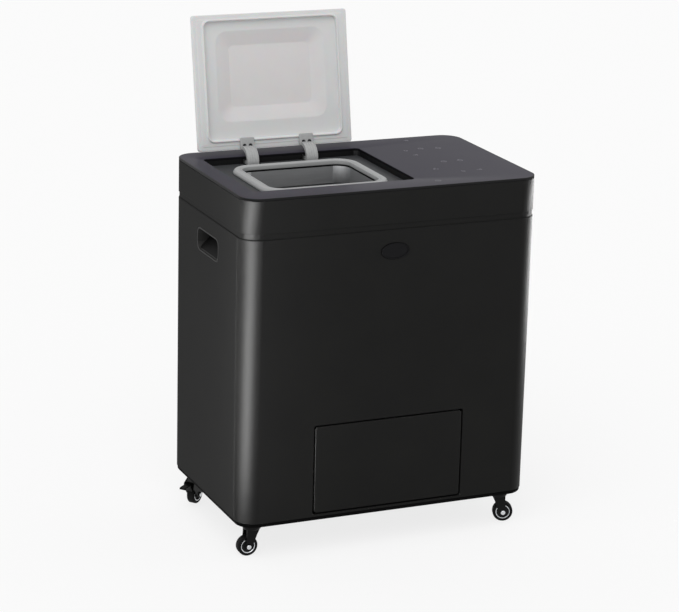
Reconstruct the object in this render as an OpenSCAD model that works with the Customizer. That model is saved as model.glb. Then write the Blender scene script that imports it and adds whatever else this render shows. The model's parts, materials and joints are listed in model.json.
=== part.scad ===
// Electric food waste composter: a floor-standing cabinet on four casters.
// Food scraps go in through the lidded mouth at the top left, are stirred and
// warmed in a trough, and drop through a sliding gate into the drawer below.
// Units are millimetres. Front faces -Y, right is +X, up is +Z, floor is z = 0.

/* [Cabinet] */
// Width of the cabinet from side to side
body_w = 485; // [475:1:505]
// Depth of the cabinet from front to back
body_d = 310; // [306:1:330]
// Height of the cabinet above its casters
body_h = 515; // [510:1:545]
// Radius of the four upright corners
corner_r = 30; // [24:1:32]
// Thickness of the moulded panels
wall = 3; // [2.5:0.5:3.5]
// Height of the band between the seam and the top
top_band_h = 63; // [58:1:68]
// Height of the shallow groove that runs round just above the seam
groove_h = 9; // [6:1:12]
// How far the front panel wraps round each side
panel_wrap = 33; // [32:1:40]
// Thickness of the glossy plate on the top
plate_t = 4; // [3:0.5:4.5]

/* [Mouth and lid] */
// Width of the sunk well that the lid closes
well_w = 264; // [255:1:270]
// Top surface left in front of the well and behind it
well_margin = 46; // [46:1:52]
// Top surface left beside the well on the left
well_side = 30.5; // [28:0.5:40]
// Depth of the well
well_depth = 12; // [11.5:0.5:14]
// Width of the mouth inside its seal
mouth_w = 180; // [160:1:186]
// Depth of the mouth inside its seal
mouth_d = 144; // [130:1:146]
// Height of the mouth seal above the well floor
seal_h = 7; // [5:0.5:7]
// Thickness of the lid at its edge
lid_t = 9; // [8:0.5:9]
// How far the lid stands open, from lying closed
lid_open = 100.5; // [90:0.5:102]

/* [Drawer] */
// Width of the drawer front
drawer_w = 247; // [240:1:250]
// Height of the drawer front
drawer_h = 140; // [136:1:144]
// Gap round the drawer front
drawer_gap = 2; // [1.5:0.5:3]

/* [Side grips] */
// Length of each side grip
grip_l = 92; // [80:1:110]
// Height of each side grip
grip_h = 38; // [34:1:44]
// Distance from the top of the cabinet down to the middle of the grip
grip_drop = 106; // [100:1:125]

/* [Stirring trough] */
// Inside radius of the round trough bottom
trough_r = 100; // [94:1:101]
// Radius that the stirrer blades reach
blade_r = 93; // [86:1:93]
// Teeth of the large gear on the stirrer shaft
gear_teeth = 52; // [48:4:52]
// Teeth of the pinion on the motor
pinion_teeth = 16; // [14:2:18]

/* [Casters] */
// Height of the cabinet's underside above the floor
caster_h = 55; // [55:1:60]
// Radius of each caster wheel
wheel_r = 16; // [14:0.5:16]
// Turn of the front left, front right, back left and back right caster
caster_turns = [180, -20, 220, -40];

/* [Hidden] */
$fn = 64;

// Heights of the main levels
top_z = caster_h + body_h;
seam_z = top_z - top_band_h;
deck_z = top_z - plate_t;
well_z = top_z - well_depth;

// Base tray and seams between the mouldings
lip_h = 6;
lip_inset = 1;
seam_gap = 0.6;
floor_t = 3;
floor_z = caster_h + floor_t;
panel_z = caster_h + lip_h + seam_gap;
joint_y = -body_d / 2 + panel_wrap;
slip = 0.4;
press = 0.05;

// The well, the lid and its hinges
well_x = -body_w / 2 + well_side + well_w / 2;
well_d = body_d - 2 * well_margin;
well_r = 8;
well_wall = 2.5;
deck_t = 3.5;
mouth_y = -10;
seal_band = 14;
seal_r = 35;
lid_gap = 2;
lid_back_gap = 5;
lid_w = well_w - 2 * lid_gap;
lid_l = well_d - lid_gap - lid_back_gap;
lid_y = (lid_gap - lid_back_gap) / 2;
hinge_setback = 13.5;
hinge_drop = 11;
hinge_y = well_d / 2 + hinge_setback;
hinge_z = top_z - hinge_drop;
hinge_gap = 100;
arm_w = 24;
arm_t = 5.5;
arm_r = hinge_setback + lid_back_gap;
tab_l = 18;
tab_t = 4;
pin_r = 2.5;
pocket_w = arm_w + 4;
pocket_front = well_d / 2 - lid_back_gap - tab_l - 1.5;
pocket_back = hinge_y + 9.5;
pocket_z = hinge_z - arm_r - arm_t - 2.5;
screw_gap = 10;
screw_in = 5;

// Frame inside the cabinet
sheet = 2;
bay_gap = 7.5;
bay_x = drawer_w / 2 + bay_gap;
shelf_z = floor_z + 155;
bulkhead_top = seam_z - 4;
frame_y0 = -body_d / 2 + 22;
frame_y1 = body_d / 2 - 12;
foot_w = 14;

// Trough, stirrer and drive
trough_t = 2;
trough_x0 = -body_w / 2 + 41.5;
drive_room = 36;
trough_x1 = bay_x - drive_room;
trough_l = trough_x1 - trough_x0;
trough_x = (trough_x0 + trough_x1) / 2;
stir_z = shelf_z + 52 + trough_r;
chute_room = 99;
trough_top = top_z - chute_room;
shaft_r = 8;
bush_r = 12;
gear_m = 2.5;
gear_x = trough_x1 + 9;
gear_t = 10;
gear_drop = gear_m * (gear_teeth + pinion_teeth) / 2;
motor_z = stir_z - gear_drop;
motor_shaft_r = 5;

// Discharge gate under the trough
port_x = trough_x + 28;
port_l = 120;
port_d = 60;
gate_t = 3;
gate_z = stir_z - trough_r - 21;
gate_travel = port_l + 4;
gate_w = port_d + 6;
rack_m = 1.5;
rack_teeth = 16;
rack_r = rack_m * rack_teeth / 2;
rack_y = -gate_w / 2 - 1.2 * rack_m;
gate_motor_x = port_x - port_l / 2 - 20;

// Air path at the back right
duct_y0 = 62;
duct_y1 = 94;
grille_gap = 4.5;
grille_size = body_w / 2 - corner_r - 1 - bay_x - grille_gap;
grille_lap = 4;
fan_x = bay_x + grille_gap + grille_size / 2;
fan_size = grille_size - 16;
fan_t = 25;
fan_hub_r = fan_size * 0.23;
fan_z = trough_top - 31;
inlet_z = floor_z + 60;
inlet_w = 48;
inlet_h = 28;
fan_y0 = body_d / 2 - wall - 0.3 - fan_t;
screw_pitch = fan_size - 10;

// Drawer
drawer_z = caster_h + 12;
slide_room = 15.5;
bin_w = drawer_w - 2 * slide_room;
bin_back = 95;
bin_wall = 2.5;
bin_r = 2.5;
bin_lift = 5.5;
bin_h = drawer_h - 13;
rail_z = drawer_z + drawer_h / 2;

// Casters
caster_x = body_w / 2 - 31.5;
caster_y = body_d / 2 - 35;
trail = 8;
wheel_w = 13;
hub_r = wheel_r - 4.5;
axle_r = 2.5;
fork_in = wheel_w / 2 + 1;
fork_t = 2;
crown_z = caster_h - 11;
crown_r = 12;
leg_w = 20;
leg_front = 9;
kingpin_r = 4;
lever_pin = [trail + 15, 2 * wheel_r + 2];
lever_pin_r = 2;

// Oval plate on the front, and the grips
badge_w = 46;
badge_h = 25;
badge_t = 1.2;
badge_drop = 96.5;
grip_z = top_z - grip_drop;
grip_depth = 22;
grip_wall = 2.5;

// The open lid reaches behind the cabinet: the frame's origin is under the
// middle of the whole outline, so the cabinet stands a little in front of it.
lid_back = hinge_y - cos(lid_open) * (hinge_y + well_d / 2 - lid_gap) + sin(lid_open) * hinge_drop;
body_y = (body_d / 2 + badge_t - lid_back) / 2;

// Drawing helpers

// Extrude a flat shape drawn as (Y, Z) along X, centred
module along_x(len) rotate([90, 0, 90]) linear_extrude(len, center = true) children();

// Extrude a flat shape drawn as (X, Z) along Y, centred
module along_y(len) rotate([90, 0, 0]) linear_extrude(len, center = true) children();

// Round bar along X from x0 to x1
module bar_x(x0, x1, r) translate([x0, 0, 0]) rotate([0, 90, 0]) cylinder(h = x1 - x0, r = r);

// Box given by its low and high corner
module block(low, high) translate(low) cube(high - low);

// Flat rectangle with rounded corners
module rounded_rect(w, d, r) {
    square([w - 2 * r, d], center = true);
    square([w, d - 2 * r], center = true);
    for (x = [-1, 1], y = [-1, 1])
        translate([x * (w / 2 - r), y * (d / 2 - r)])
            circle(r);
}

module rounded_plate(w, d, h, r) linear_extrude(h) rounded_rect(w, d, r);

// Outline of half a plate's section with its upper outer edge rounded
module soft_edge(run, h, e) {
    square([run - e, h]);
    square([run, h - e]);
    translate([run - e, h - e])
        circle(e);
}

module soft_section(w, h, e) for (side = [0, 1]) mirror([side, 0]) soft_edge(w / 2, h, e);

// Plate with rounded corners and a softened top edge
module soft_plate(w, d, h, r, e) {
    along_x(w - 2 * r) soft_section(d, h, e);
    along_y(d - 2 * r) soft_section(w, h, e);
    for (x = [-1, 1], y = [-1, 1])
        translate([x * (w / 2 - r), y * (d / 2 - r), 0])
            rotate_extrude() soft_edge(r, h, e);
}

// Ring wall that follows the cabinet's outline, set in from it
module body_ring(z0, z1, inset, t)
    translate([0, 0, z0])
        linear_extrude(z1 - z0)
            difference() {
                rounded_rect(body_w - 2 * inset, body_d - 2 * inset, corner_r - inset);
                rounded_rect(body_w - 2 * (inset + t), body_d - 2 * (inset + t), corner_r - inset - t);
            }

// Everything in front of the line where the front panel meets the shell
module front_part(y) block([-body_w, -body_d, 0], [body_w, y, top_z]);

// Involute gear outline: half angle of a tooth at radius r, from its roll angle
function roll(r, base) = let (a = acos(min(1, base / r))) tan(a) * 180 / PI - a;
function half_tooth(r, pitch, base, teeth, play) =
    90 / teeth - play + roll(pitch, base) - roll(max(r, base), base);

module gear_outline(m, teeth, slack) {
    pitch = m * teeth / 2;
    base = pitch * cos(20);
    root = pitch - 1.25 * m;
    tip = pitch + m;
    steps = 4;
    radii = [for (i = [0 : steps]) root + (tip - root) * i / steps];
    play = slack / pitch * 90 / PI;
    polygon([
        for (k = [0 : teeth - 1])
            for (side = [-1, 1])
                for (i = [0 : steps])
                    let (r = radii[side < 0 ? i : steps - i])
                    let (a = 360 * k / teeth + side * half_tooth(r, pitch, base, teeth, play))
                    [r * cos(a), r * sin(a)]
    ]);
}

// Cabinet mouldings

module base_tray() {
    w = body_w - 2 * lip_inset;
    d = body_d - 2 * lip_inset;
    upstand_h = 14;
    upstand_t = 2.5;
    rim = 6;
    pad = 42;
    slot_l = 80;
    color("#2b2c2f")
    difference() {
        union() {
            // Lower lip with its rounded underside
            translate([0, 0, caster_h + lip_h])
                mirror([0, 0, 1])
                    soft_plate(w, d, lip_h, corner_r - lip_inset, lip_h / 2);
            // Upstand that locates the panels
            difference() {
                body_ring(caster_h + lip_h, caster_h + lip_h + upstand_h, wall + slip, upstand_t);
                block([-bay_x - 8, -body_d, caster_h], [bay_x + 8, -body_d / 2 + 20, seam_z]);
            }
        }
        // Hollow between the lip and the floor, with pads left for the casters
        difference() {
            translate([0, 0, floor_z])
                rounded_plate(w - 2 * rim, d - 2 * rim, lip_h + upstand_h + 6, corner_r - lip_inset - rim);
            body_ring(floor_z, caster_h + lip_h + upstand_h, wall + slip, upstand_t);
            for (x = [-1, 1], y = [-1, 1])
                translate([x * caster_x - pad / 2, y * caster_y - pad / 2, floor_z])
                    cube([pad, pad, floor_t]);
        }
        // Cooling slots under the power supply
        for (i = [0 : 6])
            translate([bay_x + 20 + i * 10, -slot_l / 2, caster_h - 1])
                cube([4, slot_l, floor_t + 2]);
    }
}

module grip_hole(side)
    translate([side * body_w / 2, 0, grip_z])
        rotate([90, 0, 90])
            linear_extrude(4 * wall, center = true)
                rounded_rect(grip_l, grip_h, 12);

module main_shell() {
    flange_w = 12;
    rib_x = 60;
    rib_w = 3;
    end_gap = 16;
    color("#303134")
    difference() {
        union() {
            difference() {
                body_ring(panel_z, seam_z - seam_gap, 0, wall);
                front_part(joint_y);
            }
            // Flanges behind the joint with the front panel
            for (side = [-1, 1])
                mirror([side < 0 ? 1 : 0, 0, 0])
                    block([body_w / 2 - wall - flange_w, joint_y, panel_z + end_gap],
                          [body_w / 2 - wall + 0.5, joint_y + wall, seam_z - end_gap]);
            // Stiffening ribs down the back
            for (x = [-rib_x, rib_x])
                block([x - rib_w / 2, body_d / 2 - wall - 5, panel_z + end_gap],
                      [x + rib_w / 2, body_d / 2 - wall + 0.5, seam_z - end_gap]);
        }
        for (side = [-1, 1])
            grip_hole(side);
        translate([fan_x, body_d / 2, fan_z])
            along_y(6 * wall)
                square(grille_size - 2 * grille_lap, center = true);
        translate([fan_x, body_d / 2, inlet_z])
            along_y(6 * wall)
                square([inlet_w, inlet_h], center = true);
    }
}

module drawer_opening(extra)
    translate([0, -body_d / 2, drawer_z + drawer_h / 2])
        along_y(40)
            rounded_rect(drawer_w + 2 * (drawer_gap + extra), drawer_h + 2 * (drawer_gap + extra),
                4 + extra);

module badge_outline(grow) {
    n = 48;
    polygon([for (i = [0 : n - 1])
        [(badge_w / 2 + grow) * cos(360 * i / n), (badge_h / 2 + grow) * sin(360 * i / n)]]);
}

module front_panel() {
    color("#2b2c2f")
    difference() {
        union() {
            intersection() {
                body_ring(panel_z, seam_z - seam_gap, 0, wall);
                front_part(joint_y - seam_gap);
            }
            // Turned-in edge round the drawer opening
            intersection() {
                drawer_opening(wall);
                block([-body_w / 2, -body_d / 2, panel_z], [body_w / 2, -body_d / 2 + 14, seam_z]);
            }
        }
        drawer_opening(0);
        // Seat of the oval plate
        translate([0, -body_d / 2, top_z - badge_drop])
            along_y(2)
                badge_outline(0.3);
    }
}

module badge_plate() {
    seat = 0.9;
    rim = 1.6;
    color("#3a3b3f")
    translate([0, -body_d / 2, top_z - badge_drop]) {
        // Foot that sits in the panel
        translate([0, seat / 2, 0])
            along_y(seat)
                badge_outline(0);
        // Raised rim
        translate([0, -badge_t / 2, 0])
            along_y(badge_t)
                difference() {
                    badge_outline(0);
                    badge_outline(-rim);
                }
    }
}

module top_cover() {
    color("#303134")
    difference() {
        union() {
            body_ring(seam_z + groove_h, deck_z, 0, wall);
            body_ring(seam_z, seam_z + groove_h, 1.2, wall);
            // Skirt that drops inside the panels
            body_ring(seam_z - 8, seam_z, wall + slip, 2);
            body_ring(seam_z, seam_z + groove_h, wall - 1, 3.4);
            translate([0, 0, deck_z - deck_t])
                rounded_plate(body_w - 2 * wall + 1, body_d - 2 * wall + 1, deck_t, corner_r - wall);
            // Ribs under the control deck
            for (y = [-body_d / 2 + 30, body_d / 2 - 30])
                block([well_x + well_w / 2 + 22, y - 1.5, deck_z - deck_t - 8],
                      [body_w / 2 - wall, y + 1.5, deck_z - deck_t + 0.5]);
        }
        translate([well_x, 0, deck_z - 2 * deck_t])
            rounded_plate(well_w + 2 * well_wall + slip, well_d + 2 * well_wall + slip, 4 * deck_t,
                well_r + well_wall);
        hinge_pockets(2 * well_wall + slip, pocket_z);
    }
}

module top_plate() {
    color("#3c3d45")
    difference() {
        translate([0, 0, deck_z])
            soft_plate(body_w, body_d, plate_t, corner_r, 1.5);
        translate([well_x, 0, deck_z - 1])
            rounded_plate(well_w, well_d, plate_t + 2, well_r);
    }
}

// Space behind and under the well that each hinge arm swings through
module hinge_pockets(grow, z)
    for (side = [-1, 1])
        block([well_x + side * hinge_gap / 2 - (pocket_w + grow) / 2, pocket_front - grow / 2, z],
              [well_x + side * hinge_gap / 2 + (pocket_w + grow) / 2, pocket_back + grow / 2, deck_z]);

module lid_well() {
    color("#35363a")
    difference() {
        union() {
            translate([well_x, 0, well_z - well_wall])
                rounded_plate(well_w + 2 * well_wall, well_d + 2 * well_wall, deck_z - well_z + well_wall,
                    well_r + well_wall);
            // Flange screwed to the underside of the deck
            translate([well_x, 0, deck_z - deck_t - 2])
                rounded_plate(well_w + 22, well_d + 18, 2, well_r + 6);
            intersection() {
                hinge_pockets(2 * well_wall, pocket_z - well_wall);
                block([-body_w, -body_d, 0], [body_w, body_d, deck_z - 0.01]);
            }
        }
        translate([well_x, 0, well_z])
            rounded_plate(well_w, well_d, well_depth, well_r);
        hinge_pockets(0, pocket_z);
        translate([well_x, mouth_y, well_z - 2 * well_wall])
            rounded_plate(mouth_w, mouth_d, 4 * well_wall, seal_r - seal_band);
        // Bores that hold the hinge pins
        for (side = [-1, 1])
            translate([well_x + side * hinge_gap / 2, hinge_y, hinge_z])
                bar_x(-pocket_w / 2 - 10, pocket_w / 2 + 10, pin_r + press);
    }
}

module mouth_seal() {
    color("#a9abad")
    translate([well_x, mouth_y, well_z])
        difference() {
            soft_plate(mouth_w + 2 * seal_band, mouth_d + 2 * seal_band, seal_h, seal_r, 2.5);
            translate([0, 0, -1])
                rounded_plate(mouth_w, mouth_d, seal_h + 2, seal_r - seal_band);
        }
}

// Scooped hand grip: the floor of the pocket slopes up and inwards
module grip_cup(side) {
    mirror([side > 0 ? 1 : 0, 0, 0])
    translate([-body_w / 2, 0, grip_z])
    color("#2b2c2f") {
        difference() {
            union() {
                intersection() {
                    along_y(grip_l)
                        grip_section(false);
                    rotate([90, 0, 90])
                        linear_extrude(grip_depth + 5)
                            rounded_rect(grip_l - slip, grip_h - slip, 12);
                }
                // Flange that holds the cup behind the shell
                translate([wall + 0.1, 0, 0])
                    rotate([90, 0, 90])
                        linear_extrude(2)
                            rounded_rect(grip_l + 12, grip_h + 12, 14);
            }
            intersection() {
                along_y(grip_l)
                    grip_section(true);
                rotate([90, 0, 90])
                    translate([0, 0, -1])
                        linear_extrude(grip_depth + 5)
                            rounded_rect(grip_l - 5, grip_h - 5, 10);
            }
        }
    }
}

// Side section of the scoop; the inside one starts outside the shell and has a flat sill
module grip_section(inside) {
    t = inside ? grip_wall : 0;
    start = inside ? -1 : 0;
    sill = inside ? wall : 0;
    deep = grip_depth + grip_wall - t;
    slope_top = grip_h / 20 - grip_wall + t;
    polygon([[start, t - grip_h / 2], [sill, t - grip_h / 2], [deep, slope_top],
        [deep, grip_h / 2 - t], [start, grip_h / 2 - t]]);
}

// Lid and hinges, drawn closed and then swung open about the hinge pins

module swing_open()
    translate([0, hinge_y, hinge_z])
        rotate([-lid_open, 0, 0])
            translate([0, -hinge_y, -hinge_z])
                children();

module lid_screw_places()
    for (side = [-1, 1], s = [-1, 1])
        translate([well_x + side * hinge_gap / 2 + s * screw_gap / 2,
                   hinge_y - arm_r - screw_in, top_z - lid_t])
            children();

module lid_panel() {
    corner = 4;
    side_rim = 18.4;
    front_rim = 10.2;
    back_rim = 15.5;
    bead_w = 3;
    bead_h = 2.2;
    recess_w = lid_w - 2 * side_rim;
    recess_d = lid_l - front_rim - back_rim;
    recess_y = lid_y + (front_rim - back_rim) / 2;
    recess_h = seal_h - (well_depth - lid_t) + 0.4;
    recess_r = 9;
    dome_h = 5;
    skin = 2;
    color("#c8c9ca")
    swing_open()
    difference() {
        union() {
            translate([well_x, lid_y, top_z - lid_t])
                soft_plate(lid_w, lid_l, lid_t, corner, 2);
            // Raised middle of the outer side
            lid_middle(dome_h, skin);
            // Bead that stiffens the underside
            difference() {
                translate([well_x, recess_y, top_z - lid_t - bead_h])
                    difference() {
                        rounded_plate(recess_w + 2 * bead_w, recess_d + 2 * bead_w, bead_h + 1,
                            recess_r + bead_w);
                        translate([0, 0, -1])
                            rounded_plate(recess_w, recess_d, bead_h + 3, recess_r);
                    }
                // Gaps in the bead for the hinge tabs
                for (side = [-1, 1])
                    translate([well_x + side * hinge_gap / 2, 0, 0])
                        block([-arm_w / 2 - 1, mouth_y + mouth_d / 2, top_z - 30],
                              [arm_w / 2 + 1, body_d, top_z - lid_t]);
            }
        }
        // Step that closes over the seal
        translate([well_x, recess_y, top_z - lid_t - 5])
            rounded_plate(recess_w, recess_d, recess_h + 5, recess_r);
        // Dished middle with sloping sides
        lid_middle(dome_h - skin, 0);
        lid_screw_places()
            translate([0, 0, -1])
                cylinder(h = lid_t - 1.5, r = 2 + press);
    }
}

// Middle of the lid up to a height above its top face, set out by a thickness
module lid_middle(rise, out)
    translate([well_x, mouth_y, 0])
        hull() {
            translate([0, 0, top_z - 4.6])
                rounded_plate(mouth_w + 4 + 2 * out, mouth_d - 2 + 2 * out, 1, 20 + out);
            translate([0, 0, top_z + rise - 1])
                rounded_plate(mouth_w - 44 + 2 * out, mouth_d - 48 + 2 * out, 1, 8 + out);
        }

// Hooked arm: it reaches round the edge of the top plate when the lid is open
module arm_outline() {
    circle(5);
    // Hook centred on the hinge pin
    difference() {
        circle(arm_r + arm_t);
        circle(arm_r);
        translate([-arm_r - arm_t - 1, 0])
            square(2 * (arm_r + arm_t + 1));
        rotate(283)
            translate([0, -1])
                square([arm_r + arm_t + 2, 60]);
    }
    // Spoke from the pin to the hook
    rotate(280)
        translate([0, -3.5])
            square([arm_r + arm_t - 0.6, 7]);
}

module hinge_arm(side) {
    color("#bfc0c1")
    swing_open()
    translate([well_x + side * hinge_gap / 2, hinge_y, hinge_z])
    difference() {
        union() {
            along_x(arm_w)
                arm_outline();
            // Tab screwed to the underside of the lid
            translate([0, -arm_r - tab_l / 2, hinge_drop - lid_t - tab_t])
                linear_extrude(tab_t) {
                    rounded_rect(arm_w, tab_l, 5);
                    translate([0, tab_l / 4])
                        square([arm_w, tab_l / 2], center = true);
                }
        }
        bar_x(-arm_w, arm_w, pin_r + press);
        for (s = [-1, 1])
            translate([s * screw_gap / 2, -arm_r - screw_in, hinge_drop - lid_t - tab_t]) {
                translate([0, 0, -1])
                    cylinder(h = tab_t + 2, r = 2 + press);
                translate([0, 0, -30])
                    cylinder(h = 32, r = 3.3);
            }
    }
}

module lid_screws() {
    color("#4a4b4d")
    swing_open()
    lid_screw_places() {
        translate([0, 0, -2])
            cylinder(h = lid_t - 2.5, r = 2);
        translate([0, 0, -3.2])
            difference() {
                cylinder(h = 1.2, r = 3.1);
                translate([0, 0, -0.6])
                    cylinder(h = 1.2, r = 1.4, $fn = 6);
            }
    }
}

module hinge_pins() {
    color("#9a9c9f")
    for (side = [-1, 1])
        translate([well_x + side * hinge_gap / 2, hinge_y, hinge_z]) {
            bar_x(-pocket_w / 2 - well_wall, pocket_w / 2 + well_wall, pin_r);
            bar_x(pocket_w / 2 + well_wall + 0.2, pocket_w / 2 + well_wall + 1.7, 3.3);
            bar_x(pocket_w / 2 + well_wall - 0.5, pocket_w / 2 + well_wall + 0.5, pin_r);
        }
}

// Chute, trough and stirrer

module mouth_chute() {
    top = well_z - well_wall;
    flare = pocket_z - 5;
    color("#8f9193")
    difference() {
        union() {
            translate([well_x, mouth_y, top - 2.5])
                rounded_plate(mouth_w + 16, mouth_d + 16, 2.5, seal_r - seal_band + 8);
            translate([well_x, mouth_y, flare])
                rounded_plate(mouth_w + 4, mouth_d + 4, top - flare, seal_r - seal_band + 2);
            chute_funnel(flare, 2, 0.01);
        }
        translate([well_x, mouth_y, flare - 1])
            rounded_plate(mouth_w, mouth_d, 60, seal_r - seal_band);
        chute_funnel(flare, 0, 1);
    }
}

// Funnel that widens from the mouth to the top of the trough
module chute_funnel(flare, t, over) {
    hull() {
        translate([well_x, mouth_y, flare])
            rounded_plate(mouth_w + 2 * t, mouth_d + 2 * t, over, seal_r - seal_band + t);
        translate([trough_x, 0, trough_top + 0.2 - (t > 0 ? 0 : over)])
            rounded_plate(trough_l - 8 + 2 * t, 2 * trough_r - 8 + 2 * t, over, 8 + t);
    }
}

module trough_outline(r)
    union() {
        translate([0, stir_z])
            circle(r);
        translate([-r, stir_z])
            square([2 * r, trough_top - stir_z]);
    }

module trough() {
    color("#b9bbbd")
    difference() {
        union() {
            translate([trough_x, 0, 0])
                along_x(trough_l + 2 * trough_t)
                    trough_outline(trough_r + trough_t);
            translate([trough_x, 0, trough_top - 2])
                rounded_plate(trough_l + 20, 2 * trough_r + 20, 2, 10);
        }
        translate([trough_x, 0, 0])
            along_x(trough_l) {
                trough_outline(trough_r);
                translate([-trough_r, trough_top - 3])
                    square([2 * trough_r, 6]);
            }
        // Discharge port in the bottom
        block([port_x - port_l / 2, -port_d / 2, gate_z], [port_x + port_l / 2, port_d / 2, stir_z]);
        // Holes for the shaft bushes
        translate([0, 0, stir_z])
            bar_x(trough_x0 - 10, trough_x1 + 10, bush_r);
        // Air outlet into the duct
        block([trough_x1 - 5, duct_y0, trough_top - 34], [trough_x1 + 5, duct_y1, trough_top - 10]);
    }
}

// Two warming pads wrapped under the round bottom, one each side of the port
module heater_mat() {
    r = trough_r + trough_t;
    play = 0.3;
    mat_t = 2.3;
    inner_y = port_d / 2 + 14;
    upper_z = -8;
    color("#c46a2a")
    for (side = [0, 1])
        mirror([0, side, 0])
            translate([trough_x, 0, stir_z])
                along_x(trough_l - 80)
                    difference() {
                        circle(r + play + mat_t);
                        circle(r + play);
                        translate([-2 * r, -2 * r])
                            square([2 * r + inner_y, 4 * r]);
                        translate([-2 * r, upper_z])
                            square([4 * r, 2 * r]);
                    }
}

module trough_cradles() {
    color("#6d7073")
    for (x = [trough_x0 + 18, trough_x1 - 18])
        translate([x, 0, 0])
            along_x(4)
                difference() {
                    translate([-trough_r, shelf_z + sheet])
                        square([2 * trough_r, 100]);
                    translate([0, stir_z])
                        circle(trough_r + trough_t + 0.2);
                    // Window for the gate plate and its rails
                    translate([-gate_w / 2 - 6, gate_z - 3.5])
                        square([gate_w + 12, gate_t + 7]);
                    // Lightening holes
                    for (s = [-1, 1])
                        translate([s * 74, shelf_z + 24])
                            circle(9);
                }
}

// Bush for the shaft: a flange from x0 to x1 and a sleeve that sits in the wall beside it
module bush(x0, x1, sleeve_x0, sleeve_x1)
    difference() {
        union() {
            bar_x(x0, x1, bush_r + 4);
            bar_x(sleeve_x0, sleeve_x1, bush_r);
        }
        bar_x(x0 - 10, x1 + 10, shaft_r + press);
    }

module shaft_bushes() {
    color("#d8d2b8")
    translate([0, 0, stir_z]) {
        bush(trough_x0 - 8, trough_x0 - trough_t, trough_x0 - trough_t, trough_x0);
        bush(trough_x1 + trough_t, gear_x - 1, trough_x1, trough_x1 + trough_t);
        bush(bay_x - 8, bay_x - 2, bay_x - 2, bay_x + sheet);
    }
}

module stirrer_shaft() {
    color("#a5a7aa")
    translate([0, 0, stir_z])
        bar_x(trough_x0 - 7, bay_x - 1, shaft_r);
}

// Paddles stand in a spiral along the shaft, each twisted a little
module stirrer_paddles() {
    count = 5;
    end_gap = 28;
    pitch = (trough_l - 2 * end_gap) / (count - 1);
    boss_w = 16;
    blade_w = 42;
    blade_h = 34;
    blade_t = 6;
    twist = 25;
    color("#a5a7aa")
    translate([trough_x0 + end_gap, 0, stir_z])
        for (i = [0 : count - 1])
            translate([i * pitch, 0, 0])
                rotate([90 * i + 20, 0, 0]) {
                    difference() {
                        bar_x(-boss_w / 2, boss_w / 2, shaft_r + 5);
                        bar_x(-boss_w, boss_w, shaft_r + press);
                    }
                    translate([0, 0, shaft_r + 2])
                        rotate([0, 0, twist])
                            translate([-blade_t, -blade_t / 2, 0])
                                cube([2 * blade_t, blade_t, blade_r - shaft_r - 22]);
                    // Blade
                    rotate([0, 0, twist])
                        translate([0, 0, blade_r - blade_h / 2])
                            rotate([90, 0, 0])
                                linear_extrude(blade_t, center = true)
                                    rounded_rect(blade_w, blade_h, 6);
                }
}

module drive_gear() {
    color("#c9c7bd")
    translate([gear_x + gear_t / 2, 0, stir_z])
        difference() {
            union() {
                along_x(gear_t)
                    rotate(-90 + 180 / gear_teeth)
                        gear_outline(gear_m, gear_teeth, 0.3);
                bar_x(-gear_t / 2, gear_t / 2 + 6, 16);
            }
            bar_x(-20, 20, shaft_r + press);
            for (i = [0 : 5])
                rotate([60 * i + 30, 0, 0])
                    translate([0, 0, gear_m * gear_teeth / 2 * 0.58])
                        bar_x(-20, 20, 11);
        }
}

module motor_pinion() {
    color("#8b8d90")
    translate([gear_x + gear_t / 2, 0, motor_z]) {
        along_x(gear_t)
            rotate(90)
                gear_outline(gear_m, pinion_teeth, 0.3);
        bar_x(-gear_t / 2, bay_x + sheet - gear_x - gear_t / 2 - 0.3, motor_shaft_r);
    }
}

// Gear motor bolted to the far side of the bulkhead
module gear_motor() {
    x0 = bay_x + sheet;
    box_l = 32;
    box_w = 60;
    motor_r = 26;
    screw_at = 23;
    color("#55585c")
    translate([0, 0, motor_z]) {
        // Gearbox, then the motor with the joint of its can
        block([x0, -box_w / 2, -box_w / 2], [x0 + box_l, box_w / 2, box_w / 2]);
        bar_x(x0 + box_l - 0.5, body_w / 2 - wall - 14, motor_r);
        bar_x(x0 + 60, x0 + 64, motor_r + 1);
        for (y = [-1, 1], z = [-1, 1])
            translate([0, y * screw_at, z * screw_at])
                bar_x(x0 + box_l - 0.5, x0 + box_l + 3, 3.5);
    }
}

// Sheet wall between the trough and the machine room on the right
module bulkhead() {
    color("#8f9396")
    difference() {
        union() {
            block([bay_x, frame_y0, floor_z], [bay_x + sheet, frame_y1, bulkhead_top]);
            block([bay_x, frame_y0, floor_z], [bay_x + foot_w, frame_y1, floor_z + sheet]);
            block([bay_x, frame_y1 - sheet, floor_z], [bay_x + grille_size / 10, frame_y1, bulkhead_top]);
        }
        translate([0, 0, stir_z])
            bar_x(bay_x - 5, bay_x + 5, bush_r);
        translate([0, 0, motor_z])
            bar_x(bay_x - 5, bay_x + 5, 14);
        block([bay_x - 5, duct_y0 - 4, trough_top - 38], [bay_x + 5, duct_y1 + 4, trough_top - 6]);
    }
}

// Folded sheet that forms the drawer bay and the shelf above it
module bay_frame() {
    color("#8f9396")
    difference() {
        union() {
            block([-bay_x - sheet, frame_y0, floor_z], [-bay_x, frame_y1, shelf_z + sheet]);
            block([-bay_x - foot_w, frame_y0, floor_z], [-bay_x, frame_y1, floor_z + sheet]);
            block([-bay_x - sheet, frame_y0, shelf_z], [bay_x, frame_y1, shelf_z + sheet]);
        }
        block([port_x - port_l / 2 - 4, -port_d / 2 - 4, shelf_z - 1],
              [port_x + port_l / 2 + 4, port_d / 2 + 4, shelf_z + sheet + 1]);
        for (x = [-90, 90], y = [-95, 95])
            translate([x, y, shelf_z - 1])
                cylinder(h = sheet + 2, r = 10);
    }
}

// Discharge gate: a plate with a rack along its front edge, driven by a pinion

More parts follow.
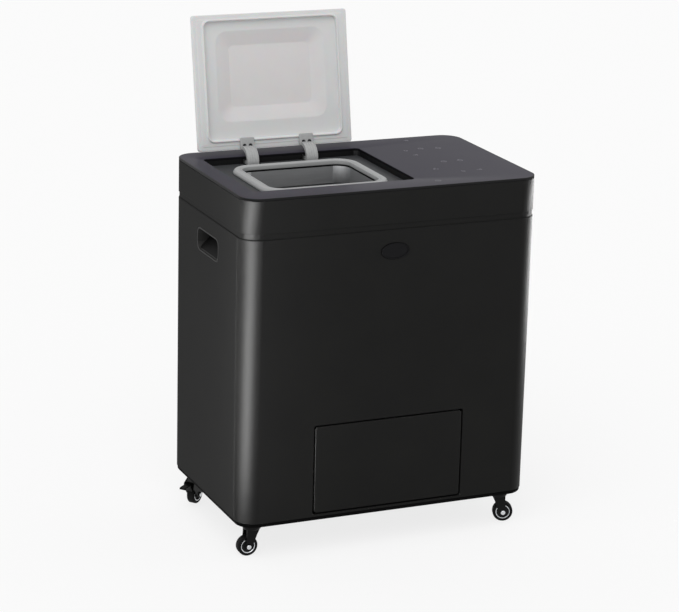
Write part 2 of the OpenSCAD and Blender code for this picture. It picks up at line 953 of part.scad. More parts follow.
module gate_frame() {
    out_l = port_l + 12;
    color("#6d7073")
    difference() {
        union() {
            block([port_x - out_l / 2, -port_d / 2 - 8, shelf_z + sheet],
                  [port_x + out_l / 2, port_d / 2 + 8, stir_z - trough_r + 10]);
            block([port_x - port_l / 2 - 3.6, -port_d / 2 - 3.6, shelf_z - 3],
                  [port_x + port_l / 2 + 3.6, port_d / 2 + 3.6, shelf_z + sheet + 1]);
            // Rails that carry the plate when it is drawn aside
            for (s = [0, 1])
                mirror([0, s, 0])
                    block([port_x - port_l / 2 - gate_travel - 12, gate_w / 2 - 4, gate_z - 3],
                          [port_x - out_l / 2 + 1, gate_w / 2 + 5, gate_z + gate_t + 3]);
        }
        block([port_x - port_l / 2, -port_d / 2, shelf_z - 5],
              [port_x + port_l / 2, port_d / 2, stir_z]);
        translate([trough_x, 0, stir_z])
            bar_x(-trough_l, trough_l, trough_r + trough_t + 0.3);
        // Slot for the plate and its rack
        block([port_x - port_l / 2 - gate_travel - 20, -gate_w / 2 - 2.6 * rack_m - 0.3, gate_z - 0.3],
              [port_x + port_l / 2 + 3.5, gate_w / 2 + 0.3, gate_z + gate_t + 0.3]);
        // Room for the pinion
        translate([gate_motor_x, rack_y - rack_r, gate_z - 8])
            cylinder(h = gate_t + 16, r = rack_r + rack_m + 2);
    }
}

module gate_plate() {
    pitch = PI * rack_m;
    x0 = gate_motor_x - 4.6;
    x1 = port_x + port_l / 2 + 3;
    count = floor((x1 - gate_motor_x) / pitch);
    lean = tan(20) * rack_m;
    tip = pitch / 4 - lean - 0.1;
    root = pitch / 4 + 1.2 * lean - 0.1;
    color("#a5a7aa")
    translate([0, 0, gate_z])
        linear_extrude(gate_t) {
            translate([x0, -gate_w / 2])
                square([x1 - x0, gate_w]);
            for (k = [-1 : count - 1])
                translate([gate_motor_x + (k + 0.5) * pitch, -gate_w / 2])
                    polygon([[-root, 0.1], [-tip, -2.2 * rack_m], [tip, -2.2 * rack_m], [root, 0.1]]);
        }
}

module gate_pinion() {
    color("#c9c7bd")
    translate([gate_motor_x, rack_y - rack_r, 0]) {
        translate([0, 0, gate_z - 1])
            linear_extrude(gate_t + 2)
                rotate(90)
                    gear_outline(rack_m, rack_teeth, 0.25);
        translate([0, 0, gate_z - 3.7])
            cylinder(h = 3, r = 3);
    }
}

module gate_motor() {
    color("#55585c")
    translate([gate_motor_x, rack_y - rack_r, shelf_z + sheet]) {
        cylinder(h = gate_z - 4 - shelf_z - sheet, r = 12);
        translate([-19, -6, 0])
            cube([38, 12, 2]);
    }
}

// Air path: duct from the trough, carbon filter, fan and grille

module air_duct() {
    color("#55585c")
    difference() {
        block([trough_x1 + trough_t, duct_y0 - 3, trough_top - 37],
              [bay_x + 8, duct_y1 + 3, trough_top - 7]);
        block([trough_x1 - 5, duct_y0, trough_top - 34], [bay_x + 20, duct_y1, trough_top - 10]);
    }
}

module filter_box() {
    x0 = bay_x + 8;
    x1 = body_w / 2 - wall - 6;
    y0 = duct_y0 - 6;
    y1 = duct_y1 + 12;
    color("#404246")
    difference() {
        union() {
            block([x0, y0, fan_z - 50], [x1, y1, fan_z + 50]);
            // Round collar towards the fan
            translate([fan_x, (y1 + fan_y0) / 2 - 0.7, fan_z])
                along_y(fan_y0 - y1 + 0.8)
                    circle(fan_size / 2 - 2);
        }
        translate([fan_x, y1 + 6, fan_z])
            along_y(60)
                circle(fan_size / 2 - 5);
        block([x0 + 2, y0 + 2, fan_z - 48], [x1 - 2, y1 - 2, fan_z + 48]);
        block([x0 - 5, duct_y0, trough_top - 34], [x0 + 5, duct_y1, trough_top - 10]);
    }
    // Carbon cartridge
    color("#1d1e20")
    block([x0 + 12, y0 + 2, fan_z - 48], [x1 - 2, y1 - 14, fan_z + 48]);
}

module fan_housing() {
    color("#222326")
    translate([fan_x, fan_y0 + fan_t / 2, fan_z])
        difference() {
            along_y(fan_t)
                rounded_rect(fan_size, fan_size, 4);
            difference() {
                along_y(fan_t + 2)
                    circle(fan_size / 2 - 3);
                // Motor cup on three struts at the outlet side
                translate([0, fan_t / 2 - 2, 0])
                    along_y(4)
                        union() {
                            circle(fan_hub_r + 1);
                            for (i = [0 : 2])
                                rotate(120 * i + 90)
                                    translate([0, -2])
                                        square([fan_size / 2, 4]);
                        }
                translate([0, fan_t / 2 - 8, 0])
                    along_y(10)
                        circle(3);
            }
            for (x = [-1, 1], z = [-1, 1])
                translate([x * screw_pitch / 2, 0, z * screw_pitch / 2])
                    along_y(fan_t + 2)
                        circle(2.2);
        }
}

module fan_rotor() {
    blades = 7;
    color("#2b2c30")
    translate([fan_x, fan_y0 + 10, fan_z])
        difference() {
            union() {
                along_y(18)
                    circle(fan_hub_r);
                intersection() {
                    along_y(17)
                        difference() {
                            circle(fan_size / 2 - 4);
                            circle(fan_hub_r - 1);
                        }
                    for (i = [0 : blades - 1])
                        rotate([0, 360 * i / blades, 0])
                            translate([0, 0, fan_size * 0.42])
                                rotate([0, 0, 38])
                                    cube([28, 2, fan_size / 2], center = true);
                }
            }
            // Bore that turns on the motor cup's stub
            translate([0, 9, 0])
                along_y(18)
                    circle(3 + press);
        }
}

module rear_grille() {
    slot_pitch = 6;
    grille_in = grille_size - 2 * (grille_lap + 0.3);
    slot_field = grille_size / 2 - 5;
    rows = floor((slot_field - 2) / slot_pitch);
    color("#2b2c2f")
    translate([fan_x, body_d / 2, fan_z])
        difference() {
            union() {
                translate([0, -wall / 2 + 0.7, 0])
                    along_y(wall + 1.4)
                        rounded_rect(grille_in, grille_in, 3);
                translate([0, 0.95, 0])
                    along_y(1.7)
                        rounded_rect(grille_size, grille_size, 5);
            }
            // Slots, shortened to follow a circle
            for (i = [-rows : rows]) {
                z = i * slot_pitch;
                half = sqrt(slot_field * slot_field - z * z);
                translate([0, 0, z])
                    along_y(20)
                        square([2 * half, 3], center = true);
            }
        }
}

// Electrics

module control_board() {
    x0 = well_x + well_w / 2 + 24;
    x1 = body_w / 2 - wall - 12;
    z0 = deck_z - deck_t - 11;
    color("#1f5a38") {
        block([x0, -body_d / 2 + 34, z0], [x1, body_d / 2 - 60, z0 + 1.6]);
        for (x = [x0 + 5, x1 - 5], y = [-body_d / 2 + 40, body_d / 2 - 66])
            translate([x, y, z0 + 1])
                cylinder(h = deck_z - deck_t - z0 - 1, r = 3);
        // Connectors and chips
        for (i = [0 : 3])
            translate([x0 + 14 + i * (x1 - x0 - 46) / 3, -60, z0 - 6])
                cube([18, 14, 6.5]);
        translate([(x0 + x1) / 2 - 11, -20, z0 - 2.5])
            cube([22, 22, 3]);
    }
}

module power_supply() {
    x0 = bay_x + 20;
    x1 = body_w / 2 - wall - 14;
    y0 = -body_d / 2 + 65;
    y1 = body_d / 2 - 95;
    h = 42;
    t = 1.5;
    pitch = 16;
    color("#9da0a3")
    difference() {
        block([x0, y0, floor_z], [x1, y1, floor_z + h]);
        block([x0 + t, y0 + t, floor_z + t], [x1 - t, y1 - t, floor_z + h - t]);
        // Vent slots in the lid
        for (y = [y0 + pitch : pitch : y1 - pitch])
            block([x0 + 8, y, floor_z + h - 2 * t], [x1 - 8, y + 5, floor_z + h + t]);
    }
}

// Three-pin appliance inlet low on the back
module mains_inlet() {
    play = 0.3;
    color("#1b1c1e")
    translate([fan_x, body_d / 2, inlet_z]) {
        difference() {
            union() {
                translate([0, -9, 0])
                    along_y(22)
                        rounded_rect(inlet_w - 2 * play, inlet_h - 2 * play, 3);
                translate([0, 1, 0])
                    along_y(2)
                        rounded_rect(inlet_w + 8, inlet_h + 6, 5);
            }
            translate([0, 2, 0])
                along_y(32)
                    union() {
                        rounded_rect(24.5, 16.5, 3);
                        translate([0, -3])
                            square([27, 10.5], center = true);
                    }
        }
        for (p = [[-7, -1], [0, 3], [7, -1]])
            translate([p[0], -8, p[1]])
                along_y(14)
                    square([2, 4], center = true);
    }
}

// Drawer with its slides and runners

module drawer_front() {
    face_t = 4;
    edge_l = 6;
    edge_t = 3;
    inset = 2;
    color("#2b2c2f")
    translate([0, -body_d / 2, drawer_z + drawer_h / 2]) {
        translate([0, face_t / 2, 0])
            along_y(face_t)
                rounded_rect(drawer_w, drawer_h, 4);
        // Turned-back edge
        translate([0, face_t - 0.5 + edge_l / 2, 0])
            along_y(edge_l)
                difference() {
                    rounded_rect(drawer_w - 2 * inset, drawer_h - 2 * inset, 3);
                    rounded_rect(drawer_w - 2 * (inset + edge_t), drawer_h - 2 * (inset + edge_t), 2);
                }
    }
}

module drawer_bin() {
    y0 = -body_d / 2 + 4;
    y1 = bin_back;
    z0 = drawer_z + bin_lift;
    color("#4a4c50")
    difference() {
        translate([0, (y0 + y1) / 2, z0])
            rounded_plate(bin_w, y1 - y0, bin_h, bin_r + bin_wall);
        translate([0, (y0 + y1) / 2, z0 + bin_wall])
            rounded_plate(bin_w - 2 * bin_wall, y1 - y0 - 2 * bin_wall, bin_h, bin_r);
    }
}

module drawer_slides() {
    y0 = -body_d / 2 + 12;
    y1 = bin_back - 8;
    color("#b2b4b6")
    for (s = [0, 1])
        mirror([s, 0, 0]) {
            block([bin_w / 2, y0, rail_z - 9], [bin_w / 2 + 3, y1, rail_z + 9]);
            block([bin_w / 2 + 2.5, y0, rail_z - 4], [bin_w / 2 + 12, y1, rail_z + 4]);
        }
}

module drawer_runners() {
    y0 = -body_d / 2 + 24;
    y1 = bin_back + 4;
    color("#8f9396")
    for (s = [0, 1])
        mirror([s, 0, 0])
            difference() {
                block([bin_w / 2 + 4, y0, rail_z - 13], [bay_x, y1, rail_z + 13]);
                block([bin_w / 2 - 4, y0 - 5, rail_z - 4.5], [bin_w / 2 + 12.5, y1 - 3, rail_z + 4.5]);
            }
}

// Push-to-open catch under the shelf
module drawer_catch() {
    color("#d0d0cc") {
        block([-12, bin_back + 4, shelf_z - 17], [12, bin_back + 34, shelf_z]);
        translate([0, bin_back + 2.3, shelf_z - 11])
            along_y(4)
                circle(4);
    }
}

// Casters: each is drawn with its swivel axis on the Z axis and its wheel
// trailing towards +X, then turned and moved to its corner

function caster_at(i) = [(i % 2 == 0 ? -1 : 1) * caster_x, (i < 2 ? -1 : 1) * caster_y, 0];

module at_caster(i)
    translate(caster_at(i))
        rotate([0, 0, caster_turns[i]])
            children();

module caster_plates() {
    plate_w = 40;
    steel = 2.5;
    hole_at = 14.5;
    color("#1c1d1f")
    for (i = [0 : 3])
        translate(caster_at(i)) {
            difference() {
                translate([0, 0, caster_h - steel])
                    rounded_plate(plate_w, plate_w, steel, 5);
                for (x = [-1, 1], y = [-1, 1])
                    translate([x * hole_at, y * hole_at, 0])
                        cylinder(h = caster_h + 1, r = 2.2);
            }
            // Swivel race and kingpin
            translate([0, 0, crown_z + 6.3])
                cylinder(h = caster_h - crown_z - 8, r = crown_r);
            translate([0, 0, crown_z - 0.5])
                cylinder(h = 10, r = kingpin_r);
            translate([0, 0, crown_z - 2.5])
                cylinder(h = 2.2, r = 6.5);
        }
}

module fork(brake) {
    color("#1c1d1f")
    difference() {
        union() {
            translate([0, 0, crown_z])
                rotate_extrude()
                    soft_edge(crown_r, 6, 3);
            for (s = [-1, 1])
                translate([0, s * (fork_in + fork_t / 2), 0])
                    along_y(fork_t)
                        fork_leg(brake);
            translate([0, 0, crown_z])
                block([-leg_front, -fork_in - fork_t, 0], [leg_w - leg_front, fork_in + fork_t, 3]);
            // Axle with its caps
            translate([trail, 0, wheel_r])
                along_y(2 * (fork_in + fork_t) + 1)
                    circle(axle_r);
            for (s = [-1, 1])
                translate([trail, s * (fork_in + fork_t + 0.7), wheel_r])
                    along_y(1.6)
                        circle(3.6);
            if (brake)
                translate([lever_pin[0], 0, lever_pin[1]])
                    along_y(2 * (fork_in + fork_t))
                        circle(lever_pin_r);
        }
        translate([0, 0, crown_z - 1])
            cylinder(h = 10, r = kingpin_r + 0.1);
    }
}

module fork_leg(brake) {
    back = brake ? lever_pin[0] + 4 : leg_w - leg_front;
    foot = 5;
    polygon([[-leg_front, crown_z + 3], [leg_w - leg_front, crown_z + 3],
        [back, brake ? lever_pin[1] + 4 : crown_z - 4],
        [back, brake ? lever_pin[1] - 4 : crown_z - 8], [trail + foot, wheel_r - 4],
        [trail - foot, wheel_r - 4], [3 - leg_front, crown_z - 8], [-leg_front, crown_z - 2]]);
}

module tyre() {
    e = 2; // rounding of the tread's edges
    color("#16171a")
    translate([trail, 0, wheel_r])
        rotate([90, 0, 0])
            rotate_extrude()
                translate([hub_r + press, 0]) {
                    translate([0, -wheel_w / 2 + e])
                        square([wheel_r - hub_r - press, wheel_w - 2 * e]);
                    translate([0, -wheel_w / 2])
                        square([wheel_r - hub_r - press - e, wheel_w]);
                    for (s = [-1, 1])
                        translate([wheel_r - hub_r - press - e, s * (wheel_w / 2 - e)])
                            circle(e);
                }
}

module hub() {
    color("#c9cacc")
    translate([trail, 0, wheel_r])
        rotate([90, 0, 0])
            difference() {
                translate([0, 0, -wheel_w / 2 + 0.5])
                    cylinder(h = wheel_w - 1, r = hub_r);
                // Dished faces inside the bright rim
                for (s = [-1, 1])
                    translate([0, 0, s * (wheel_w / 2 - 0.5)])
                        difference() {
                            cylinder(h = 5, r = hub_r - 3, center = true);
                            cylinder(h = 8, r = 5, center = true);
                        }
                cylinder(h = wheel_w + 2, r = axle_r + press, center = true);
            }
}

module brake_lever() {
    p = lever_pin;
    color("#1c1d1f")
    difference() {
        along_y(12)
            polygon([[p[0] - 9, p[1] + 0.5], [p[0] - 3, p[1] + 4], [p[0] + 23, p[1] + 3],
                [p[0] + 24, p[1]], [p[0] + 7, p[1] - 1.5], [p[0] + 4, p[1] - 8.5],
                [p[0] + 1, p[1] - 7.5], [p[0] - 2.5, p[1] - 3]]);
        translate([p[0], 0, p[1]])
            along_y(20)
                circle(lever_pin_r + 0.08);
    }
}

// Screws under the base and in the back of the shell
module case_screws() {
    color("#7d7f82") {
        for (x = [-1, 1], y = [-1, 0, 1])
            translate([x * (body_w / 2 - 70), y * (body_d / 2 - 40), caster_h - 1.6])
                difference() {
                    cylinder(h = 1.6, r = 4);
                    translate([0, 0, -1])
                        cylinder(h = 1.8, r = 1.8, $fn = 6);
                }
        for (x = [-1, 1], z = [panel_z + 24, (inlet_z + fan_z) / 2, seam_z - 8])
            translate([x * (body_w / 2 - 40), body_d / 2 + 0.8, z])
                difference() {
                    along_y(1.6)
                        circle(4);
                    translate([0, 1, 0])
                        along_y(1.6)
                            circle(1.8, $fn = 6);
                }
    }
}

// Puts the cabinet in the part's frame
module placed() translate([0, body_y, 0]) children();

placed() base_tray();
placed() main_shell();
placed() front_panel();
placed() top_cover();
placed() top_plate();
placed() lid_well();
placed() mouth_seal();
placed() badge_plate();
placed() grip_cup(-1);  // grip_cup_left
placed() grip_cup(1);  // grip_cup_right
placed() mouth_chute();
placed() trough();
placed() heater_mat();
placed() trough_cradles();
placed() shaft_bushes();
placed() gear_motor();
placed() bulkhead();
placed() bay_frame();
placed() gate_frame();
placed() gate_motor();
placed() filter_box();
placed() fan_housing();
placed() air_duct();
placed() rear_grille();
placed() control_board();
placed() power_supply();
placed() mains_inlet();
placed() hinge_pins();
placed() drawer_runners();
placed() drawer_catch();
placed() caster_plates();
placed() case_screws();
placed() stirrer_shaft();
placed() stirrer_paddles();
placed() drive_gear();
placed() motor_pinion();
placed() fan_rotor();
placed() gate_plate();
placed() gate_pinion();
placed() lid_panel();
placed() hinge_arm(-1);  // hinge_arm_left
placed() hinge_arm(1);  // hinge_arm_right
placed() lid_screws();
placed() drawer_front();
placed() drawer_bin();
placed() drawer_slides();
placed() at_caster(0) fork(false);  // fork_fl
placed() at_caster(1) fork(false);  // fork_fr
placed() at_caster(2) fork(true);  // fork_bl
placed() at_caster(3) fork(true);  // fork_br
placed() at_caster(0) tyre();  // tyre_fl
placed() at_caster(1) tyre();  // tyre_fr
placed() at_caster(2) tyre();  // tyre_bl
placed() at_caster(3) tyre();  // tyre_br
placed() at_caster(0) hub();  // hub_fl
placed() at_caster(1) hub();  // hub_fr
placed() at_caster(2) hub();  // hub_bl
placed() at_caster(3) hub();  // hub_br
placed() at_caster(2) brake_lever();  // brake_lever_bl
placed() at_caster(3) brake_lever();  // brake_lever_br
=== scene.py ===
# %% [markdown]
# # An electric food waste composter
# The object is a black cabinet on four casters. Its frosted lid stands open over a sealed
# mouth, a glossy plate with touch icons covers the top, and a drawer sits low in the front.
# A CAD model already holds every solid at its real size and place. This notebook keeps those
# solids where their shape is right, and gives them the finish of the real material. Where the
# eye looks closest, such as the lid, the seal, the hinges and the wheels, it builds a finer
# piece on the same spot.

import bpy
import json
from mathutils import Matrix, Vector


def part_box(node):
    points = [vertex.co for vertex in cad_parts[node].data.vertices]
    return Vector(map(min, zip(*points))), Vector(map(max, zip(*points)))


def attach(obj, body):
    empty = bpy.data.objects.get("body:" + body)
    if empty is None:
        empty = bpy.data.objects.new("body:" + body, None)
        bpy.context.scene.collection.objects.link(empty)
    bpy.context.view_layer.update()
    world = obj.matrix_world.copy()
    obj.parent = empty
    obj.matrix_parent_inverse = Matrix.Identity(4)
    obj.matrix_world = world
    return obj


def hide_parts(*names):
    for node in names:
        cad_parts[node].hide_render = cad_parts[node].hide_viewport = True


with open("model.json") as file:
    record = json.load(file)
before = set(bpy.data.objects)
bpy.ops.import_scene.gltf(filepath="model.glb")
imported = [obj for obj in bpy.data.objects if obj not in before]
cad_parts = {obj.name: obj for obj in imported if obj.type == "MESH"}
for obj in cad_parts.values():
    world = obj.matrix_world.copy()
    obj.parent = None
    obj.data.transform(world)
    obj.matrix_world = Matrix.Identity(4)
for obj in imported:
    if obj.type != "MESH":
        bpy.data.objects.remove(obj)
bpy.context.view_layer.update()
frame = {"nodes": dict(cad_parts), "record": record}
print("solids in the model:", len(frame["nodes"]))

# %% [markdown]
# ## Units and sizes
# Blender works in metres, while a maker thinks of an appliance in millimetres. All sizes below
# are in millimetres, and one factor turns them to metres when a mesh is made. The sizes of the
# cabinet are read from the solids, so that the finer pieces always sit on them.

# %% Units and the cabinet's own sizes
import json
import math

import bmesh
import bpy
from mathutils import Matrix, Vector

MM = 0.001


def size_of(node):
    """Lowest and highest corner of a solid, in millimetres."""
    low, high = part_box(node)
    return [value / MM for value in low], [value / MM for value in high]


plate_low, plate_high = size_of("top_plate")
top_z = plate_high[2]
middle_y = (plate_low[1] + plate_high[1]) / 2
body_width = plate_high[0] - plate_low[0]
body_depth = plate_high[1] - plate_low[1]
joints = {joint["name"]: joint for joint in frame["record"]["behaviour"]["joints"]}
print("cabinet", round(body_width), "by", round(body_depth), "mm, top at", round(top_z))

# %% [markdown]
# ## Colours and nodes
# A screen colour such as `#1d1e20` is stored with a curve in it, and a renderer adds up light
# without that curve. One function takes the curve out. A second one adds any shader node with
# its settings and its links in a single call, which keeps each material short to read.

# %% Two helpers that every material uses
def linear(hex_colour):
    """Turns an sRGB hex colour into the linear colour that Blender's shaders expect."""
    channels = [int(hex_colour[i:i + 2], 16) / 255 for i in (1, 3, 5)]
    straight = [c / 12.92 if c <= 0.04045 else ((c + 0.055) / 1.055) ** 2.4 for c in channels]
    return straight + [1.0]


def add_node(material, kind, settings=None, inputs=None):
    """Adds one node. An input is a value, or a link written as (node, output name)."""
    node = material.node_tree.nodes.new(kind)
    for name, value in (settings or {}).items():
        setattr(node, name, value)
    for name, value in (inputs or {}).items():
        if isinstance(value, tuple) and isinstance(value[0], bpy.types.Node):
            material.node_tree.links.new(value[0].outputs[value[1]], node.inputs[name])
        else:
            node.inputs[name].default_value = value
    return node


print("a mid grey of #808080 is", round(linear("#808080")[0], 3), "in linear light")

# %% [markdown]
# Every finish starts in the same way: a shader with its even values for colour, gloss and
# reflection. The helper files each material under the name of the real finish, so that a piece
# can ask for it by that name.

# %% Start a material
materials = {}


def new_material(name, colour, roughness, **finish):
    """Starts a material with its even values set on the shader itself."""
    material = bpy.data.materials.new(name)
    material.use_nodes = True
    shader = material.node_tree.nodes["Principled BSDF"]
    shader.inputs["Base Color"].default_value = linear(colour)
    shader.inputs["Roughness"].default_value = roughness
    for socket, value in finish.items():
        shader.inputs[socket.replace("_", " ")].default_value = value
    material.diffuse_color = linear(colour)
    materials[name] = material
    return material


# %% [markdown]
# A finish is more than a colour. Its colour, gloss and relief differ a little from place to
# place. One helper adds a pattern at a size in millimetres, fixed to the object so that it moves
# along with its part. The second lets a pattern run a socket of the shader between two values or
# two colours. The third turns it into a fine relief.

# %% Patterns that vary a finish
def pattern(material, kind, size_mm, **values):
    """Adds a texture at a size in millimetres, fixed to the object."""
    place = add_node(material, "ShaderNodeTexCoord")
    inputs = {"Vector": (place, "Object"), "Scale": 1 / (size_mm * MM)}
    inputs.update({name.replace("_", " "): value for name, value in values.items()})
    return add_node(material, kind, inputs=inputs)


def vary(material, source, output, socket, low, high):
    """Lets a pattern run one socket of the shader between two values or two hex colours."""
    shader = material.node_tree.nodes["Principled BSDF"]
    if isinstance(low, str):
        blend = add_node(material, "ShaderNodeMix", {"data_type": "RGBA"},
                         {0: (source, output), 6: linear(low), 7: linear(high)})
        result = blend.outputs[2]
    else:
        blend = add_node(material, "ShaderNodeMapRange", None,
                         {"Value": (source, output), "To Min": low, "To Max": high})
        result = blend.outputs[0]
    material.node_tree.links.new(result, shader.inputs[socket])


def raise_skin(material, source, output, height_mm):
    """Turns a pattern into relief of about height_mm."""
    shader = material.node_tree.nodes["Principled BSDF"]
    bump = add_node(material, "ShaderNodeBump", None,
                    {"Height": (source, output), "Distance": height_mm * MM, "Strength": 1.0})
    material.node_tree.links.new(bump.outputs["Normal"], shader.inputs["Normal"])


# %% [markdown]
# ## Materials: moulded plastics
# The cabinet is moulded in ABS from a spark-eroded tool. That leaves a fine even grain which
# breaks a reflection into a soft sheen. The real grain is about 0.3 mm wide, too fine to show
# here, so it is drawn 1.2 mm wide. A slow drift of the colour keeps large faces from looking
# like paper. Such a grain also swallows most of the sharp reflection that polished ABS has, so
# the specular level of the black parts is matched to the photograph and is low. With other
# colours and more gloss, the same recipe makes the nylon and acetal parts.

# %% Moulded ABS, nylon and acetal
drift_wide = 90
gloss_change = 0.05


def moulded_plastic(name, dark, light, roughness, grain_mm, relief_mm, **finish):
    """A moulded plastic skin: fine grain in relief, and a slow drift of colour and gloss."""
    material = new_material(name, dark, roughness, **finish)
    grain = pattern(material, "ShaderNodeTexNoise", grain_mm, Detail=2.0, Roughness=0.6)
    drift = pattern(material, "ShaderNodeTexNoise", drift_wide, Detail=3.0, Roughness=0.5)
    vary(material, drift, "Fac", "Base Color", dark, light)
    vary(material, grain, "Fac", "Roughness", roughness - gloss_change, roughness + gloss_change)
    raise_skin(material, grain, "Fac", relief_mm)


# Name, darker and lighter colour, roughness, grain and relief in millimetres.
moulded_plastic("satin_black_abs", "#1b1b1b", "#20201f", 0.5, 1.2, 0.02, IOR=1.46,
                Specular_IOR_Level=0.025)
moulded_plastic("well_black_abs", "#38393b", "#3e3f41", 0.5, 1.0, 0.03, IOR=1.45,
                Specular_IOR_Level=0.25)
moulded_plastic("black_nylon", "#111112", "#161617", 0.5, 0.9, 0.02, IOR=1.5,
                Specular_IOR_Level=0.15)
moulded_plastic("tray_black_abs", "#0a0a0a", "#0e0e0e", 0.6, 1.2, 0.02, IOR=1.46,
                Specular_IOR_Level=0.02)
# A lighter copy of the shell plastic for the grip cups: painted light against the shade inside the
# grips.
moulded_plastic("cup_abs_painted_lighter", "#303030", "#353534", 0.5, 1.2, 0.02, IOR=1.46,
                Specular_IOR_Level=0.12)
moulded_plastic("grey_abs", "#48494b", "#4e4f51", 0.5, 1.2, 0.02, IOR=1.5)
moulded_plastic("dark_grey_abs", "#2f3236", "#34373b", 0.52, 1.2, 0.02, IOR=1.5)
moulded_plastic("white_acetal", "#cfcfcb", "#d8d8d4", 0.4, 1.5, 0.01, IOR=1.48)
moulded_plastic("natural_acetal", "#d9d3bd", "#e0dbc7", 0.42, 1.5, 0.01, IOR=1.48)
moulded_plastic("natural_nylon", "#cfc9b8", "#d8d3c4", 0.45, 1.5, 0.01, IOR=1.53)
print("moulded plastics:", ", ".join(materials))

# %% [markdown]
# A dark line frames the mouth: the shade that falls on the walls of the well is painted into their
# colour as black, and the floor is left lighter. One material can show both. The upright part of the
# surface's own direction tells a wall from a floor, and blends from the one colour to the other.

# %% Painted shade on the walls round the well
# Near-black that paints the shade on upright faces.
wall_shade_black = "#0b0b0c"


def paint_wall_shade(material, black):
    """Paints shade as a darker colour where a surface stands upright, and leaves what lies flat."""
    shader = material.node_tree.nodes["Principled BSDF"]
    flat_colour = shader.inputs["Base Color"].links[0].from_socket
    surface = add_node(material, "ShaderNodeNewGeometry")
    slant = add_node(material, "ShaderNodeSeparateXYZ", None, {"Vector": (surface, "Normal")})
    blend = add_node(material, "ShaderNodeMix", {"data_type": "RGBA"},
                     {0: (slant, "Z"), 6: linear(black)})
    material.node_tree.links.new(flat_colour, blend.inputs[7])
    material.node_tree.links.new(blend.outputs[2], shader.inputs["Base Color"])


paint_wall_shade(materials["well_black_abs"], wall_shade_black)
print("well: walls", wall_shade_black, "and a lighter floor")

# %% [markdown]
# The top is a sheet of acrylic, printed black on its underside and lightly etched against finger
# marks. The clear sheet over the print gives it a cool, deeper tone than the shells and a smoother
# gloss. The edge of its cut-out gets the same painted shade as the walls of the well, black where it
# stands upright. The touch marks are printed in a paler ink, whose dots are drawn 2 mm wide, because
# real ones are too fine to show.

# %% Printed acrylic and its pale print
top_acrylic = new_material("printed_acrylic", "#3b3942", 0.42, IOR=1.49, Specular_IOR_Level=0.045)
smear = pattern(top_acrylic, "ShaderNodeTexNoise", size_mm=60, Detail=4.0, Roughness=0.6)
vary(top_acrylic, smear, "Fac", "Roughness", 0.38, 0.46)
vary(top_acrylic, smear, "Fac", "Base Color", "#37353e", "#3f3d46")
# Painted shade: the upright faces of the sheet, such as the edge of the cut-out, turn black.
paint_wall_shade(top_acrylic, wall_shade_black)

icon_print = new_material("grey_print", "#6c6a75", 0.4)
dots = pattern(icon_print, "ShaderNodeTexNoise", size_mm=2, Detail=2.0)
vary(icon_print, dots, "Fac", "Base Color", "#64626d", "#74727d")
print("top:", top_acrylic.name, "and", icon_print.name)

# %% [markdown]
# ## Materials: lid, seal and hinges
# The lid is frosted polypropylene: light enters the milky plastic and leaves it a few
# millimetres away, so edges and ribs look soft. A little subsurface scattering gives that. The
# frosting itself is a fine etch of about 0.1 mm, drawn 0.9 mm wide so that it shows.

# %% Frosted polypropylene
glow_depth = 4 * MM
frosted = new_material("frosted_polypropylene", "#dadbdb", 0.42, IOR=1.49, Subsurface_Weight=0.25,
                       Subsurface_Scale=glow_depth)
cloud = pattern(frosted, "ShaderNodeTexNoise", size_mm=45, Detail=3.0, Roughness=0.55)
frost = pattern(frosted, "ShaderNodeTexNoise", size_mm=0.9, Detail=1.0)
vary(frosted, cloud, "Fac", "Base Color", "#d7d8d8", "#dedfdf")
vary(frosted, frost, "Fac", "Roughness", 0.36, 0.48)
raise_skin(frosted, frost, "Fac", height_mm=0.01)
print("lid:", frosted.name, "with light going", round(glow_depth / MM), "mm deep")

# %% [markdown]
# The seal is silicone rubber, duller than the lid and a shade darker. The hinge arms are nylon
# filled with short glass fibres. Where fibres lie at the skin they show as faint pale streaks a
# few millimetres long, with a little less gloss.

# %% Silicone rubber and glass-filled nylon
moulded_plastic("silicone_rubber", "#a4a5a5", "#acadad", 0.6, 1.2, 0.02, IOR=1.41)

fibre = new_material("glass_filled_nylon", "#adaeae", 0.4, IOR=1.53)
streaks = pattern(fibre, "ShaderNodeTexNoise", size_mm=2.5, Detail=3.0, Distortion=0.6)
vary(fibre, streaks, "Fac", "Base Color", "#a6a7a7", "#b7b8b8")
vary(fibre, streaks, "Fac", "Roughness", 0.34, 0.48)
print("materials so far:", len(materials))

# %% [markdown]
# ## Materials: metals
# A metal has no colour under its reflection, so the base colour is the colour of the mirror
# itself. What tells one metal from another is the mark left by how it was worked: long fine
# scratches along brushed, ground and rolled metal, a mottled skin on zinc and blackened steel,
# nothing but a slight waviness on chrome plate. Real scratches lie about a tenth of a millimetre
# apart, and are drawn wider so that they show.

# %% Brushed, ground, plated and anodised metals
mark_depth = 0.004
mark_gloss = 0.07


def worked_metal(name, dark, light, roughness, mark_mm, stretch):
    """A metal whose working marks are about mark_mm apart, and longer where stretch is small."""
    material = new_material(name, light, roughness, Metallic=1.0)
    place = add_node(material, "ShaderNodeTexCoord")
    turned = add_node(material, "ShaderNodeMapping", None,
                      {"Vector": (place, "Object"), "Scale": stretch})
    marks = add_node(material, "ShaderNodeTexNoise", None,
                     {"Vector": (turned, "Vector"), "Scale": 1 / (mark_mm * MM), "Detail": 3.0})
    vary(material, marks, "Fac", "Base Color", dark, light)
    vary(material, marks, "Fac", "Roughness", roughness - mark_gloss, roughness + mark_gloss)
    raise_skin(material, marks, "Fac", mark_depth)


